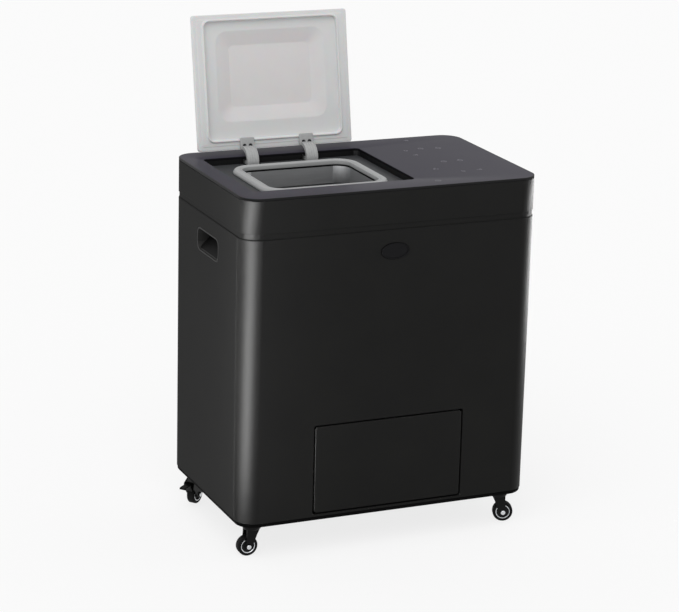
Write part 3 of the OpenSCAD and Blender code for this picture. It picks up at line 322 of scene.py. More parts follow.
# Name, darker and lighter colour, roughness, marks in millimetres, scale along each axis.
worked_metal("brushed_stainless", "#a7a8aa", "#babbbc", 0.52, 0.8, (0.03, 1, 1))
worked_metal("ground_steel", "#b4b6b8", "#c6c8ca", 0.25, 0.6, (1, 1, 0.05))
worked_metal("zinc_plate", "#85878a", "#9a9c9f", 0.4, 3, (1, 1, 1))
worked_metal("blackened_steel", "#2a2a2c", "#37373a", 0.42, 2, (1, 1, 1))
worked_metal("chrome_plate", "#c4c6c9", "#d6d8da", 0.16, 6, (1, 1, 1))
worked_metal("folded_aluminium", "#a7a9ab", "#b9bbbd", 0.4, 1.2, (1, 0.05, 1))
worked_metal("dark_anodised_aluminium", "#1a1a1b", "#232324", 0.4, 0.6, (0.05, 1, 1))
print("materials so far:", len(materials))

# %% [markdown]
# The sheet metal inside is galvanised. When molten zinc cools on steel it grows flat crystals
# about a centimetre wide, which split the sheet into paler and darker flakes. A Voronoi pattern
# has the same straight-edged cells.

# %% Galvanised sheet
galvanised = new_material("galvanised_sheet", "#9b9ea1", 0.42, Metallic=0.9)
spangle_wide = 9
spangle = pattern(galvanised, "ShaderNodeTexVoronoi", spangle_wide, Randomness=1.0)
vary(galvanised, spangle, "Color", "Base Color", "#8c8f92", "#a9acaf")
vary(galvanised, spangle, "Distance", "Roughness", 0.36, 0.5)
print("zinc crystals about", spangle_wide, "mm wide")

# %% [markdown]
# ## Materials: running gear and inner works
# Caster forks are dipped in black enamel, which pools into a smooth, slightly wavy coat. The
# motors have a sprayed paint with the fine dimples of an orange's skin. Tyres are hard rubber,
# dull and a little dusty.

# %% Enamel, motor paint and tyre rubber
enamel = new_material("black_enamel", "#090909", 0.34, IOR=1.5, Specular_IOR_Level=0.12)
ripple = pattern(enamel, "ShaderNodeTexNoise", size_mm=5, Detail=1.0)
vary(enamel, ripple, "Fac", "Roughness", 0.28, 0.42)
raise_skin(enamel, ripple, "Fac", height_mm=0.03)

motor_paint = new_material("dark_motor_paint", "#3a3d41", 0.35, IOR=1.5)
peel = pattern(motor_paint, "ShaderNodeTexNoise", size_mm=2.5, Detail=1.0)
vary(motor_paint, peel, "Fac", "Base Color", "#36393d", "#404347")
raise_skin(motor_paint, peel, "Fac", height_mm=0.03)

moulded_plastic("tyre_rubber", "#080808", "#0e0e0e", 0.66, 1.5, 0.04, IOR=1.52,
                Specular_IOR_Level=0.12)
print("materials so far:", len(materials))

# %% [markdown]
# The warming pads under the trough are orange silicone with a heating track that runs to and
# fro. A wave texture shows it as bands, which come at about a third of the size given. The
# circuit board is green lacquer over copper tracks, and a cell pattern in two greens stands for
# them.

# %% Warming pads and circuit board
heater = new_material("orange_silicone", "#b5551f", 0.55, IOR=1.41)
track = pattern(heater, "ShaderNodeTexWave", size_mm=8, Distortion=0.0, Detail=0.0)
vary(heater, track, "Fac", "Base Color", "#9c4517", "#c4652b")
raise_skin(heater, track, "Fac", height_mm=0.15)

board = new_material("green_circuit_board", "#1b5a35", 0.35, IOR=1.55)
tracks = pattern(board, "ShaderNodeTexVoronoi", size_mm=5, Randomness=0.3)
vary(board, tracks, "Distance", "Base Color", "#2a7346", "#12462a")
raise_skin(board, tracks, "Distance", height_mm=0.05)
print("materials in all:", len(materials))

# %% [markdown]
# ## Dress every solid
# The model names a material slot for each solid. A small table says which finish that slot
# gets, and a loop puts it on. This way no solid is forgotten, also not the ones that only show
# when the drawer or the lid moves.

# %% Finish for each slot of the model
finish_of_slot = {
    "shell_plastic": "satin_black_abs",
    "top_gloss": "printed_acrylic",
    "well_plastic": "well_black_abs",
    "lid_plastic": "frosted_polypropylene",
    "seal_rubber": "silicone_rubber",
    "hinge_plastic": "glass_filled_nylon",
    "badge_metal": "dark_anodised_aluminium",
    "stainless": "brushed_stainless",
    "sheet_steel": "galvanised_sheet",
    "inner_plastic": "black_nylon",
    "grey_plastic": "grey_abs",
    "heater_pad": "orange_silicone",
    "motor_metal": "dark_motor_paint",
    "bearing_plastic": "natural_acetal",
    "gear_nylon": "natural_nylon",
    "board_green": "green_circuit_board",
    "psu_metal": "folded_aluminium",
    "pin_steel": "ground_steel",
    "screw_steel": "zinc_plate",
    "filter_plastic": "dark_grey_abs",
    "caster_black": "black_enamel",
    "tyre_rubber": "tyre_rubber",
    "hub_bright": "chrome_plate",
    "catch_plastic": "white_acetal",
}
slot_of_node = {part["node"]: part["material_slot"] for part in frame["record"]["subparts"]}
for node, solid in frame["nodes"].items():
    finish = materials[finish_of_slot[slot_of_node[node]]]
    solid.data.materials.clear()
    solid.data.materials.append(finish)
frame["nodes"]["lid_screws"].data.materials[0] = materials["blackened_steel"]
frame["nodes"]["base_tray"].data.materials[0] = materials["tray_black_abs"]
# The grip cups take the lighter copy, which paints light into their shaded recesses.
for node in ("grip_cup_left", "grip_cup_right"):
    frame["nodes"][node].data.materials[0] = materials["cup_abs_painted_lighter"]
print("dressed solids:", len(slot_of_node))

# %% [markdown]
# ## Soft edges on the solids
# No moulded or folded edge is perfectly sharp, and the thin line of light on it is what makes
# a part look real. The solids come in as triangles, on which a bevel would break up.
# Three modifiers put that right without touching the mesh: one welds the corners, one melts the
# triangles of a flat face together, and one rounds the edges.

# %% Round the edges of the solids
weld_reach = 0.01
flat_within = 0.5
sharper_than = 38


def soften_solid(node, radius_mm):
    """Rounds the edges of a solid with modifiers only."""
    solid = frame["nodes"][node]
    weld = solid.modifiers.new("weld", "WELD")
    weld.merge_threshold = weld_reach * MM
    melt = solid.modifiers.new("melt", "DECIMATE")
    melt.decimate_type = "DISSOLVE"
    melt.angle_limit = math.radians(flat_within)
    bevel = solid.modifiers.new("bevel", "BEVEL")
    bevel.width = radius_mm * MM
    bevel.segments = 2
    bevel.limit_method = "ANGLE"
    bevel.angle_limit = math.radians(sharper_than)
    bevel.harden_normals = True


edge_radius = {
    "main_shell": 0.9, "front_panel": 0.5, "top_cover": 1.0, "base_tray": 0.8,
    "lid_well": 0.6, "grip_cup_left": 0.3, "grip_cup_right": 0.3, "caster_plates": 0.4,
    "brake_lever_bl": 0.5, "brake_lever_br": 0.5, "rear_grille": 0.4, "mains_inlet": 0.4,
    "badge_plate": 0.25, "drawer_bin": 0.8, "drawer_slides": 0.3, "drawer_runners": 0.3,
    "bay_frame": 0.3, "bulkhead": 0.3, "power_supply": 0.4, "gear_motor": 0.6, "gate_frame": 0.4,
    "trough": 0.5, "mouth_chute": 0.4, "fan_housing": 0.4, "filter_box": 0.5, "air_duct": 0.5,
    "trough_cradles": 0.3, "drawer_catch": 0.5, "stirrer_paddles": 0.6, "gate_plate": 0.2,
    "fork_fl": 0.4, "fork_fr": 0.4, "fork_bl": 0.4, "fork_br": 0.4,
}
for node, radius_mm in edge_radius.items():
    soften_solid(node, radius_mm)
print("solids with rounded edges:", len(edge_radius))

# %% [markdown]
# ## Building pieces from rings
# Most moulded parts here are rounded rectangles that change size with height. A ring of points
# is drawn for each height. A plain box with a bevel would need cutting afterwards, while a ring
# has its corners from the start.

# %% A ring with rounded corners
def rounded_ring(width, depth, radius, height, x=0.0, y=0.0, steps=8):
    """A rounded rectangle lying flat at a height, in millimetres."""
    ring = []
    for corner, (side, face) in enumerate(((1, 1), (-1, 1), (-1, -1), (1, -1))):
        for step in range(steps + 1):
            angle = math.radians(90 * (corner + step / steps))
            ring.append((x + side * (width / 2 - radius) + radius * math.cos(angle),
                         y + face * (depth / 2 - radius) + radius * math.sin(angle),
                         height))
    return ring


# %% [markdown]
# A tool maker breaks each edge of a mould a little. This helper does the same to a profile
# before it becomes a mesh: each turn becomes a short curve of about the given radius.

# %% Round the turns of a profile
def round_turns(profile, radius, steps=3, closed=False):
    """Replaces each turn of a row of settings by a short curve of about that radius."""
    count = len(profile)
    rounded = []
    for i, turn in enumerate(profile):
        if not closed and i in (0, count - 1):
            rounded.append(turn)
            continue
        before, after = profile[i - 1], profile[(i + 1) % count]
        cut = []
        for other in (before, after):
            span = math.hypot((other[0] - turn[0]) / 2, other[3] - turn[3])
            share = min(0.5, radius / span) if span > 0 else 0
            cut.append([a + (b - a) * share for a, b in zip(turn, other)])
        for step in range(steps + 1):
            way = step / steps
            rounded.append([(1 - way) ** 2 * a + 2 * way * (1 - way) * b + way * way * c
                            for a, b, c in zip(cut[0], turn, cut[1])])
    return rounded


# %% [markdown]
# Rings of equal length are skinned with quads, from each ring to the next. A part that is turned
# on a lathe, such as a wheel, is skinned in the same way, from a ring for each step of its
# profile.

# %% Skin rings, and turn a profile
def skin(rings, loop=False):
    """Skins rings of equal length with quads, and closes the ends unless it is a loop."""
    mesh = bmesh.new()
    rows = [[mesh.verts.new(Vector(point) * MM) for point in ring] for ring in rings]
    pairs = list(zip(rows, rows[1:])) + ([(rows[-1], rows[0])] if loop else [])
    for row, following in pairs:
        for i in range(len(row)):
            j = (i + 1) % len(row)
            mesh.faces.new((row[i], row[j], following[j], following[i]))
    if not loop:
        mesh.faces.new(rows[0][::-1])
        mesh.faces.new(rows[-1])
    bmesh.ops.recalc_face_normals(mesh, faces=mesh.faces)
    return mesh


def turned(profile, loop=False, steps=48):
    """A turned shape about the upright axis, from (radius, height) pairs in millimetres."""
    angles = [2 * math.pi * i / steps for i in range(steps)]
    return skin([[(radius * math.cos(a), radius * math.sin(a), height) for a in angles]
                 for radius, height in profile], loop)


# %% [markdown]
# Each finished piece needs the same last steps: its meshes joined, a finish, smooth shading with
# the real edges kept sharp, the body that it rides on, the slot of its material, and the solids
# that it stands for.

# %% Put a piece together
def put_together(name, meshes, finish, body, replaced=(), moved=None, smooth_below=35):
    """Joins meshes into one named piece, dresses it and lets it ride on a body."""
    data = bpy.data.meshes.new(name)
    whole = bmesh.new()
    for mesh in meshes:
        part = bpy.data.meshes.new("part")
        mesh.to_mesh(part)
        whole.from_mesh(part)
        bpy.data.meshes.remove(part)
        mesh.free()
    if moved is not None:
        bmesh.ops.transform(whole, matrix=moved, verts=whole.verts)
    whole.to_mesh(data)
    whole.free()
    for face in data.polygons:
        face.use_smooth = True
    data.set_sharp_from_angle(angle=math.radians(smooth_below))
    piece = bpy.data.objects.new(name, data)
    bpy.context.scene.collection.objects.link(piece)
    data.materials.append(materials[finish])
    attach(piece, body)
    if replaced:
        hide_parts(*replaced)
    print(name, "faces:", len(data.polygons))


# %% [markdown]
# ## The top plate
# The real plate is one sheet with a cut-out for the lid, set in a thin black edging that covers
# its cut edge. The edging is one closed profile carried round the cabinet's outline, with a
# shadow gap below it, so that the plate seems to float a little.

# %% Edging of the top plate
corner = 30
edging_wide, gap_tall, gap_deep = 1.8, 1.1, 1.0
edging_soft, edging_turn = 0.5, 0.15


def body_ring(inset, height):
    """The outline of the cabinet at a height, drawn inwards by an inset in millimetres."""
    return rounded_ring(body_width - 2 * inset, body_depth - 2 * inset, corner - inset, height,
                        0, middle_y)


edging_steps = [(0, plate_low[2] + gap_tall), (0, top_z - edging_soft),
                (edging_turn, top_z - edging_turn), (edging_soft, top_z),
                (edging_wide, top_z), (edging_wide, plate_low[2]), (gap_deep, plate_low[2]),
                (gap_deep, plate_low[2] + gap_tall)]
edging_rings = [body_ring(inset, z) for inset, z in edging_steps]
put_together("top_edging", [skin(edging_rings, loop=True)], "black_nylon", "cabinet")

# %% [markdown]
# Where the top cover meets the main shell, a strip of gasket closes the seam. It lies a little
# behind their faces and gives the seam its even dark line. It is the same outline with a small
# upright profile.

# %% Gasket in the seam
shell_top = size_of("main_shell")[1][2]
gasket_front, gasket_back = 0.6, 2.9
gasket_low, gasket_high = shell_top - 0.3, shell_top + 0.9
gasket_steps = [(gasket_front, gasket_low), (gasket_front, gasket_high),
                (gasket_back, gasket_high), (gasket_back, gasket_low)]
gasket_rings = [body_ring(inset, z) for inset, z in gasket_steps]
put_together("seam_gasket", [skin(gasket_rings, loop=True)], "satin_black_abs", "cabinet")

# %% [markdown]
# The sheet itself runs from its outer outline straight to the cut-out. Lofting it like that
# makes the flat face in one row of quads, with no cut to go wrong. The edge of the cut-out is
# eased by a quarter turn.

# %% Sheet with the cut-out for the lid
well_wide, well_deep, well_corner = 264, 218, 8
well_from_left = 30.5
well_x = plate_low[0] + well_from_left + well_wide / 2
sheet_top = top_z - 0.05
eased, ease_steps = 0.8, 3
plate_rings = [body_ring(edging_wide, z) for z in (plate_low[2], sheet_top)]
for step in range(ease_steps + 1):
    turn = math.radians(90 * step / ease_steps)
    grow, drop = eased * (1 - math.sin(turn)), eased * (1 - math.cos(turn))
    plate_rings.append(rounded_ring(well_wide + 2 * grow, well_deep + 2 * grow, well_corner + grow,
                                    sheet_top - drop, well_x, middle_y))
plate_rings.append(rounded_ring(well_wide, well_deep, well_corner, plate_low[2], well_x, middle_y))
put_together("top_sheet", [skin(plate_rings, loop=True)], "printed_acrylic", "cabinet",
             replaced=["top_plate"])

# %% [markdown]
# ## Touch icons
# The plate carries rows of faint grey touch marks. They are drawn as flat shapes a tenth of a
# millimetre above the top of the plate: rings and bars that mean nothing in particular.

# %% Flat rings and bars
def flat_ring(x, y, outer, inner, start=0, sweep=360, points=20):
    """A flat ring or part of one, on the plate."""
    inside, outside = [], []
    for i in range(points + 1):
        angle = math.radians(start + sweep * i / points)
        inside.append((x + inner * math.cos(angle), y + inner * math.sin(angle)))
        outside.append((x + outer * math.cos(angle), y + outer * math.sin(angle)))
    return [(inside[i], outside[i], outside[i + 1], inside[i + 1]) for i in range(points)]


def flat_bar(x, y, wide, deep):
    """A flat bar on the plate."""
    return [((x - wide / 2, y - deep / 2), (x + wide / 2, y - deep / 2),
             (x + wide / 2, y + deep / 2), (x - wide / 2, y + deep / 2))]


# %% [markdown]
# Each mark is a few such strokes, about 9 mm across: an open ring with a bar, three bars, a dial
# with two hands, a drop, or three small rings.

# %% Marks from rings and bars
icon_radius, stroke = 4.5, 0.9
blade_reach = 3.4
ink_height = 0.1


def touch_icon(kind, x, y):
    """One generic mark, as a list of flat quads."""
    if kind == "ring":
        return flat_ring(x, y, icon_radius, 3.5, 110, 320) + flat_bar(x, y + 4, 1, 4)
    if kind == "bars":
        return [quad for i in (-1, 0, 1) for quad in flat_bar(x + 3 * i, y, 1.4, 4 + 2 * i)]
    if kind == "dial":
        hands = flat_bar(x, y + 1.2, stroke, 3) + flat_bar(x + 1.2, y, 2.6, stroke)
        return flat_ring(x, y, icon_radius, 3.6) + hands
    if kind == "drop":
        sides = flat_bar(x - 1.8, y + 1.6, stroke, 3.4) + flat_bar(x + 1.8, y + 1.6, stroke, 3.4)
        return flat_ring(x, y - 1, 3, 2, -200, 220) + sides
    blades = []
    for i in range(3):
        angle = math.radians(90 + 120 * i)
        blades += flat_ring(x + blade_reach * math.cos(angle), y + blade_reach * math.sin(angle),
                            1.7, 0.7)
    return blades


icon_places = [("bars", 147, 133), ("dial", 146, 74), ("ring", 174, 69), ("drop", 117, 68),
               ("bars", 119, 36), ("dial", 143, -17.5), ("ring", 171, -18), ("fan", 109, -59),
               ("drop", 144, -84.5), ("bars", 172.5, -82.5), ("dial", 80, -129)]
icons = bmesh.new()
for kind, x, y in icon_places:
    for quad in touch_icon(kind, x, y):
        icons.faces.new([icons.verts.new(Vector((px, py + middle_y, top_z + ink_height)) * MM)
                         for px, py in quad])
put_together("touch_icons", [icons], "grey_print", "cabinet")

# %% [markdown]
# ## The mouth seal
# A soft rubber ring stands round the mouth: a broad rounded bead that the lid presses on, and a
# thin inner lip that wipes the edge. The ring is one closed profile, carried round a rounded
# rectangle. Each row below gives a width, a depth, a corner radius and a height.

# %% Seal ring
seal_low, seal_high = size_of("mouth_seal")
mouth_y = (seal_low[1] + seal_high[1]) / 2
seal_foot, seal_top = seal_low[2], seal_high[2]
seal_profile = [
    [180, 144, 21, seal_foot],
    [180, 144, 21, seal_top - 0.4],
    [184, 148, 23, seal_top - 0.2],
    [186, 150, 24, seal_top - 2.2],
    [190, 154, 26, seal_top],
    [203, 167, 32.5, seal_top],
    [208, 172, 35, seal_top - 3.5],
    [208, 172, 35, seal_foot],
]
seal_turns = round_turns(seal_profile, radius=1.2, closed=True)
seal_rings = [rounded_ring(wide, deep, radius, z, well_x, mouth_y, steps=12)
              for wide, deep, radius, z in seal_turns]
put_together("seal_ring", [skin(seal_rings, loop=True)], "silicone_rubber", "cabinet",
             replaced=["mouth_seal"], smooth_below=60)

# %% [markdown]
# ## The lid
# The lid is drawn lying closed, then swung open about its hinge by the joint's own angle. That
# keeps the drawing simple, and the closed lid is sure to lie flat over the mouth.

# %% Swing from closed to open
hinge = Vector(joints["lid_hinge"]["pos_m"])
lid_angle = math.radians(joints["lid_hinge"]["range_deg"][1])
swing = Matrix.Translation(hinge) @ Matrix.Rotation(-lid_angle, 4, "X") @ Matrix.Translation(-hinge)
print("lid stands open by", round(math.degrees(lid_angle)), "degrees")

# %% [markdown]
# The lid is one moulding. Its underside has a rim, a narrow bead, a step that closes over the
# seal, and a dished middle with sloping sides. The profile starts in the middle of the
# underside, runs out over the rim and comes back over the top. Each row gives a width, a depth,
# a corner radius, a height and the middle in depth.

# %% Lid shell
lid_wide, lid_long, lid_thick = 260, 211, 9
lid_y = middle_y - 1.5
step_y = lid_y - 2.65
step_wide, step_deep = 223.2, 185.3
bead_wide, bead_tall = 3, 2.2
rim_wide, rim_slope, rim_step = 7, 0.75, 0.6
under = top_z - lid_thick
ceiling = under + 4.4
lid_face = top_z - 0.2
dish_floor, dome_top = top_z + 3, top_z + 4.8
lid_profile = [
    [116, 76, 6, dish_floor, mouth_y],
    [136, 96, 8, dish_floor, mouth_y],
    [184, 142, 20, ceiling, mouth_y],
    [step_wide, step_deep, 9, ceiling, step_y],
    [step_wide, step_deep, 9, under - bead_tall, step_y],
    [step_wide + 2 * bead_wide, step_deep + 2 * bead_wide, 12, under - bead_tall, step_y],
    [step_wide + 2 * bead_wide, step_deep + 2 * bead_wide, 12, under, step_y],
    [lid_wide - 2 * rim_wide, lid_long - 2 * rim_wide, 3, under, lid_y],
    [lid_wide - 2 * (rim_wide - rim_slope), lid_long - 2 * (rim_wide - rim_slope), 3,
     under + rim_step, lid_y],
    [lid_wide, lid_long, 4, under + rim_step, lid_y],
    [lid_wide, lid_long, 4, lid_face, lid_y],
    [165, 124, 16, lid_face, mouth_y],
    [140, 100, 10, dome_top, mouth_y],
    [120, 80, 6, dome_top, mouth_y],
]
lid_rings = [rounded_ring(wide, deep, radius, z, well_x, y, steps=6)
             for wide, deep, radius, z, y in round_turns(lid_profile, radius=1.3)]
put_together("lid_shell", [skin(lid_rings)], "frosted_polypropylene", "lid",
             replaced=["lid_panel"], moved=swing, smooth_below=50)

# %% [markdown]
# ## The hinge arms
# Each arm is a tab screwed under the lid and a hook that reaches round the edge of the plate to
# its pin. The tab is a flat outline with two screw holes. A filled curve object gives it its
# thickness and its soft edges in one go, holes and all.

# %% Shapes cut from a flat outline
same_spot = 0.001


def circle_points(x, y, radius, points=20):
    """Points round a circle."""
    angles = [2 * math.pi * i / points for i in range(points)]
    return [(x + radius * math.cos(angle), y + radius * math.sin(angle)) for angle in angles]


def cut_shape(outline, holes, low, high, edge):
    """A flat shape with holes between two heights, its edges rounded by edge millimetres."""
    curve = bpy.data.curves.new("cut", "CURVE")
    curve.dimensions = "2D"
    curve.fill_mode = "BOTH"
    curve.extrude = ((high - low) / 2 - edge) * MM
    curve.bevel_depth = edge * MM
    curve.bevel_resolution = 2
    curve.offset = -edge * MM
    for points in [outline] + holes:
        line = curve.splines.new("POLY")
        line.points.add(len(points) - 1)
        for spot, (x, y) in zip(line.points, points):
            spot.co = (x * MM, y * MM, 0, 1)
        line.use_cyclic_u = True
    holder = bpy.data.objects.new("cut", curve)
    data = bpy.data.meshes.new_from_object(holder)
    mesh = bmesh.new()
    mesh.from_mesh(data)
    bmesh.ops.remove_doubles(mesh, verts=mesh.verts, dist=same_spot * MM)
    bmesh.ops.translate(mesh, verts=mesh.verts, vec=Vector((0, 0, (low + high) / 2 * MM)))
    bpy.data.objects.remove(holder)
    bpy.data.curves.remove(curve)
    bpy.data.meshes.remove(data)
    return mesh


# %% [markdown]
# The hook is moulded with a rail along each side and thin ribs between them, which keeps it
# stiff and light. Its section is drawn once, as pairs of a place across the arm and a distance
# from the pin.

# %% Section of the hook
pin_y, pin_z = hinge[1] / MM, hinge[2] / MM
half_neck = 9.6
hook_inside, hook_outside = 18.5, 24
rail, rib, web_drop = 1.5, 1.1, 0.9
draft, nose, crown = 0.3, 0.4, 0.2
web = hook_outside - web_drop
hook_section = [(-half_neck, hook_inside), (-half_neck, hook_outside - nose),
                (-half_neck + nose, hook_outside), (-half_neck + rail, hook_outside),
                (-half_neck + rail + draft, web)]
for rib_x in (-4, 0, 4):
    hook_section += [(rib_x - rib / 2 - draft, web), (rib_x - rib / 2, hook_outside - crown),
                     (rib_x + rib / 2, hook_outside - crown), (rib_x + rib / 2 + draft, web)]
hook_section += [(half_neck - rail - draft, web), (half_neck - rail, hook_outside),
                 (half_neck - nose, hook_outside), (half_neck, hook_outside - nose),
                 (half_neck, hook_inside)]
print("points in the section:", len(hook_section))

# %% [markdown]
# The section is carried round the pin for the hook. A flat spoke joins the back end of the hook
# to the boss on the pin.

# %% Hook and spoke
hook_start, hook_end, hook_steps = 176, 283, 24
spoke_turn, spoke_inside, spoke_outside = 277, 3.5, 22
spoke_thin, spoke_wide = 3, 9


def hook_mesh(x):
    """The ribbed hook, carried round the pin."""
    rings = []
    for step in range(hook_steps + 1):
        angle = math.radians(hook_start + (hook_end - hook_start) * step / hook_steps)
        rings.append([(x + side, pin_y + reach * math.cos(angle), pin_z + reach * math.sin(angle))
                      for side, reach in hook_section])
    return skin(rings)


def spoke_mesh(centre):
    """The flat spoke between the boss and the hook."""
    angle = math.radians(spoke_turn)
    along = Vector((0, math.cos(angle), math.sin(angle)))
    across = Vector((0, -along[2], along[1]))
    corners = ((-spoke_thin, -spoke_wide), (spoke_thin, -spoke_wide),
               (spoke_thin, spoke_wide), (-spoke_thin, spoke_wide))
    return skin([[tuple(centre + along * reach + across * thin + Vector((wide, 0, 0)))
                  for thin, wide in corners] for reach in (spoke_inside, spoke_outside)])


print("hook turns", hook_end - hook_start, "degrees round the pin")

# %% [markdown]
# The boss is a short bored cylinder that turns on the pin. The tab runs on from the front end of
# the hook under the lid, where two screws hold it.

# %% Boss and tab
boss_bore, boss_edge, boss_radius = 2.6, 4.6, 5
tab_wide, tab_corner, tab_half, tab_edge = 23.6, 2.6, 2, 0.5
tab_front, tab_back = pin_y - 36.5, pin_y - 18
screw_y, screw_side, screw_radius = pin_y - 23.5, 5, 3.3


def boss_mesh(centre):
    """The bored boss on the pin, lying along it."""
    boss = turned([(boss_bore, -half_neck), (boss_edge, -half_neck),
                   (boss_radius, -half_neck + nose), (boss_radius, half_neck - nose),
                   (boss_edge, half_neck), (boss_bore, half_neck)], loop=True)
    lay = Matrix.Translation(centre * MM) @ Matrix.Rotation(math.pi / 2, 4, "Y")
    bmesh.ops.transform(boss, verts=boss.verts, matrix=lay)
    return boss


def tab_mesh(x):
    """The tab under the lid, with its two screw holes."""
    ring = rounded_ring(tab_wide, tab_back - tab_front, tab_corner, 0, x,
                        (tab_front + tab_back) / 2, steps=5)
    holes = [circle_points(x + side * screw_side, screw_y, screw_radius) for side in (-1, 1)]
    return cut_shape([point[:2] for point in ring], holes, pin_z - tab_half, pin_z + tab_half,
                     tab_edge)


print("tab is", tab_wide, "by", round(tab_back - tab_front, 1), "mm")

# %% [markdown]
# The two arms are alike and stand 100 mm apart, evenly about the middle of the lid. They are
# drawn with the lid closed and swing open with it.

# %% Both hinge arms
arm_side = 50
for side, node in ((-1, "hinge_arm_left"), (1, "hinge_arm_right")):
    arm_x = well_x + side * arm_side
    pin_centre = Vector((arm_x, pin_y, pin_z))
    arm_meshes = [hook_mesh(arm_x), spoke_mesh(pin_centre), boss_mesh(pin_centre), tab_mesh(arm_x)]
    put_together(node.replace("arm", "hook"), arm_meshes, "glass_filled_nylon", "lid",
                 replaced=[node], moved=swing, smooth_below=40)

# %% [markdown]
# ## Wheels
# Each caster wheel is a hard rubber tyre on a plated rim, with a black web in the middle and a
# plated cap on each end of the axle. A pressed cover keeps hair and crumbs out of the swivel
# bearing. They are all turned shapes, so a profile of radius and height pairs says everything.

# %% Profiles of the wheel, its caps and the swivel cover
tyre_profile = [(11.5, -6.3), (12.3, -6.5), (12.6, -6.1), (13.1, -6.1), (13.4, -6.5), (14.3, -6.4),
                (15.3, -5.8), (15.9, -4.9), (16, -3.6), (16, 3.6), (15.9, 4.9), (15.3, 5.8),
                (14.3, 6.4), (13.4, 6.5), (13.1, 6.1), (12.6, 6.1), (12.3, 6.5), (11.5, 6.3)]
rim_profile = [(9.6, -4.6), (9.9, -5.8), (10.4, -6.2), (11.2, -6.2), (11.5, -5.9), (11.5, 5.9),
               (11.2, 6.2), (10.4, 6.2), (9.9, 5.8), (9.6, 4.6)]
web_profile = [(2.6, -6.2), (4.4, -6.2), (4.9, -5.7), (5.4, -4.2), (9.7, -3.8), (9.7, 3.8),
               (5.4, 4.2), (4.9, 5.7), (4.4, 6.2), (2.6, 6.2)]
cover_profile = [(12.2, 43.5), (13.4, 43.2), (14.2, 44.2), (14.6, 46), (14.6, 50.6), (14.2, 51.6),
                 (12.6, 51.8), (12.2, 51)]
cap_profile = [(3.6, 10.9), (3.6, 11.3), (3.3, 11.7), (2.5, 12.1), (1.4, 12.3), (0.3, 12.4)]
print("wheels are", 2 * max(radius for radius, height in tyre_profile), "mm across")

# %% [markdown]
# Each wheel takes its place and its axis from the joint that it rolls on, and the swivel cover
# from the joint that it turns on. There are two caps to an axle, and one of them is turned over
# to face the other way.

# %% Tyres, rims, webs, swivel covers and axle caps
other_end = Matrix.Rotation(math.pi, 4, "X")
for corner_name in ("fl", "fr", "bl", "br"):
    roll = joints["roll_" + corner_name]
    to_wheel = Matrix.Translation(Vector(roll["pos_m"])) \
        @ Vector(roll["axis"]).to_track_quat("Z", "Y").to_matrix().to_4x4()
    wheel, caster = "wheel_" + corner_name, "caster_" + corner_name
    put_together("tread_" + corner_name, [turned(tyre_profile, loop=True, steps=72)], "tyre_rubber",
                 wheel, replaced=["tyre_" + corner_name], moved=to_wheel)
    put_together("rim_" + corner_name, [turned(rim_profile, loop=True, steps=72)], "chrome_plate",
                 wheel, replaced=["hub_" + corner_name], moved=to_wheel)
    put_together("web_" + corner_name, [turned(web_profile, loop=True)], "black_nylon",
                 wheel, moved=to_wheel)
    swivel = Vector(joints["swivel_" + corner_name]["pos_m"])
    put_together("swivel_cover_" + corner_name, [turned(cover_profile, loop=True, steps=64)],
                 "black_enamel", caster,
                 moved=Matrix.Translation(Vector((swivel[0], swivel[1], 0))))
    caps = [turned(cap_profile), turned(cap_profile)]
    bmesh.ops.transform(caps[1], matrix=other_end, verts=caps[1].verts)
    put_together("axle_caps_" + corner_name, caps, "chrome_plate", caster,
                 moved=to_wheel)

# %% [markdown]
# ## The drawer front
# The drawer front has a softer edge than the panel round it, and its left edge catches the
# light. It is a lofted plate with a turned-back rim behind it, drawn lying down and then stood
# up to face forwards.

# %% Drawer front
face_low, face_high = size_of("drawer_front")
wider_gap = 0.5
face_wide = face_high[0] - face_low[0] - 2 * wider_gap
face_tall = face_high[2] - face_low[2] - 2 * wider_gap
face_thick, face_corner = 4, 5
edge_soft, edge_steps = 1.8, 5
plate_steps = [(0, 0), (0, face_thick - edge_soft)]
for step in range(1, edge_steps + 1):
    turn = math.radians(90 * step / edge_steps)
    plate_steps.append((edge_soft * (1 - math.cos(turn)),
                        face_thick - edge_soft * (1 - math.sin(turn))))
plate_skin = skin([rounded_ring(face_wide - 2 * inset, face_tall - 2 * inset,
                                face_corner - inset, z) for inset, z in plate_steps])

rim_outside, rim_inside, rim_corner = 2, 5, 5.5
rim_top, rim_deep = 0.3, 5.5
rim_steps = [(rim_outside, rim_top), (rim_outside, -rim_deep),
             (rim_inside, -rim_deep), (rim_inside, rim_top)]
rim_skin = skin([rounded_ring(face_wide - 2 * inset, face_tall - 2 * inset,
                              rim_corner - inset, z) for inset, z in rim_steps], loop=True)
face_middle = Vector((0, face_low[1] + face_thick, (face_low[2] + face_high[2]) / 2))
stand_up = Matrix.Translation(face_middle * MM) @ Matrix.Rotation(math.pi / 2, 4, "X")
put_together("drawer_face", [plate_skin, rim_skin], "satin_black_abs", "drawer",
             replaced=["drawer_front"], moved=stand_up, smooth_below=40)
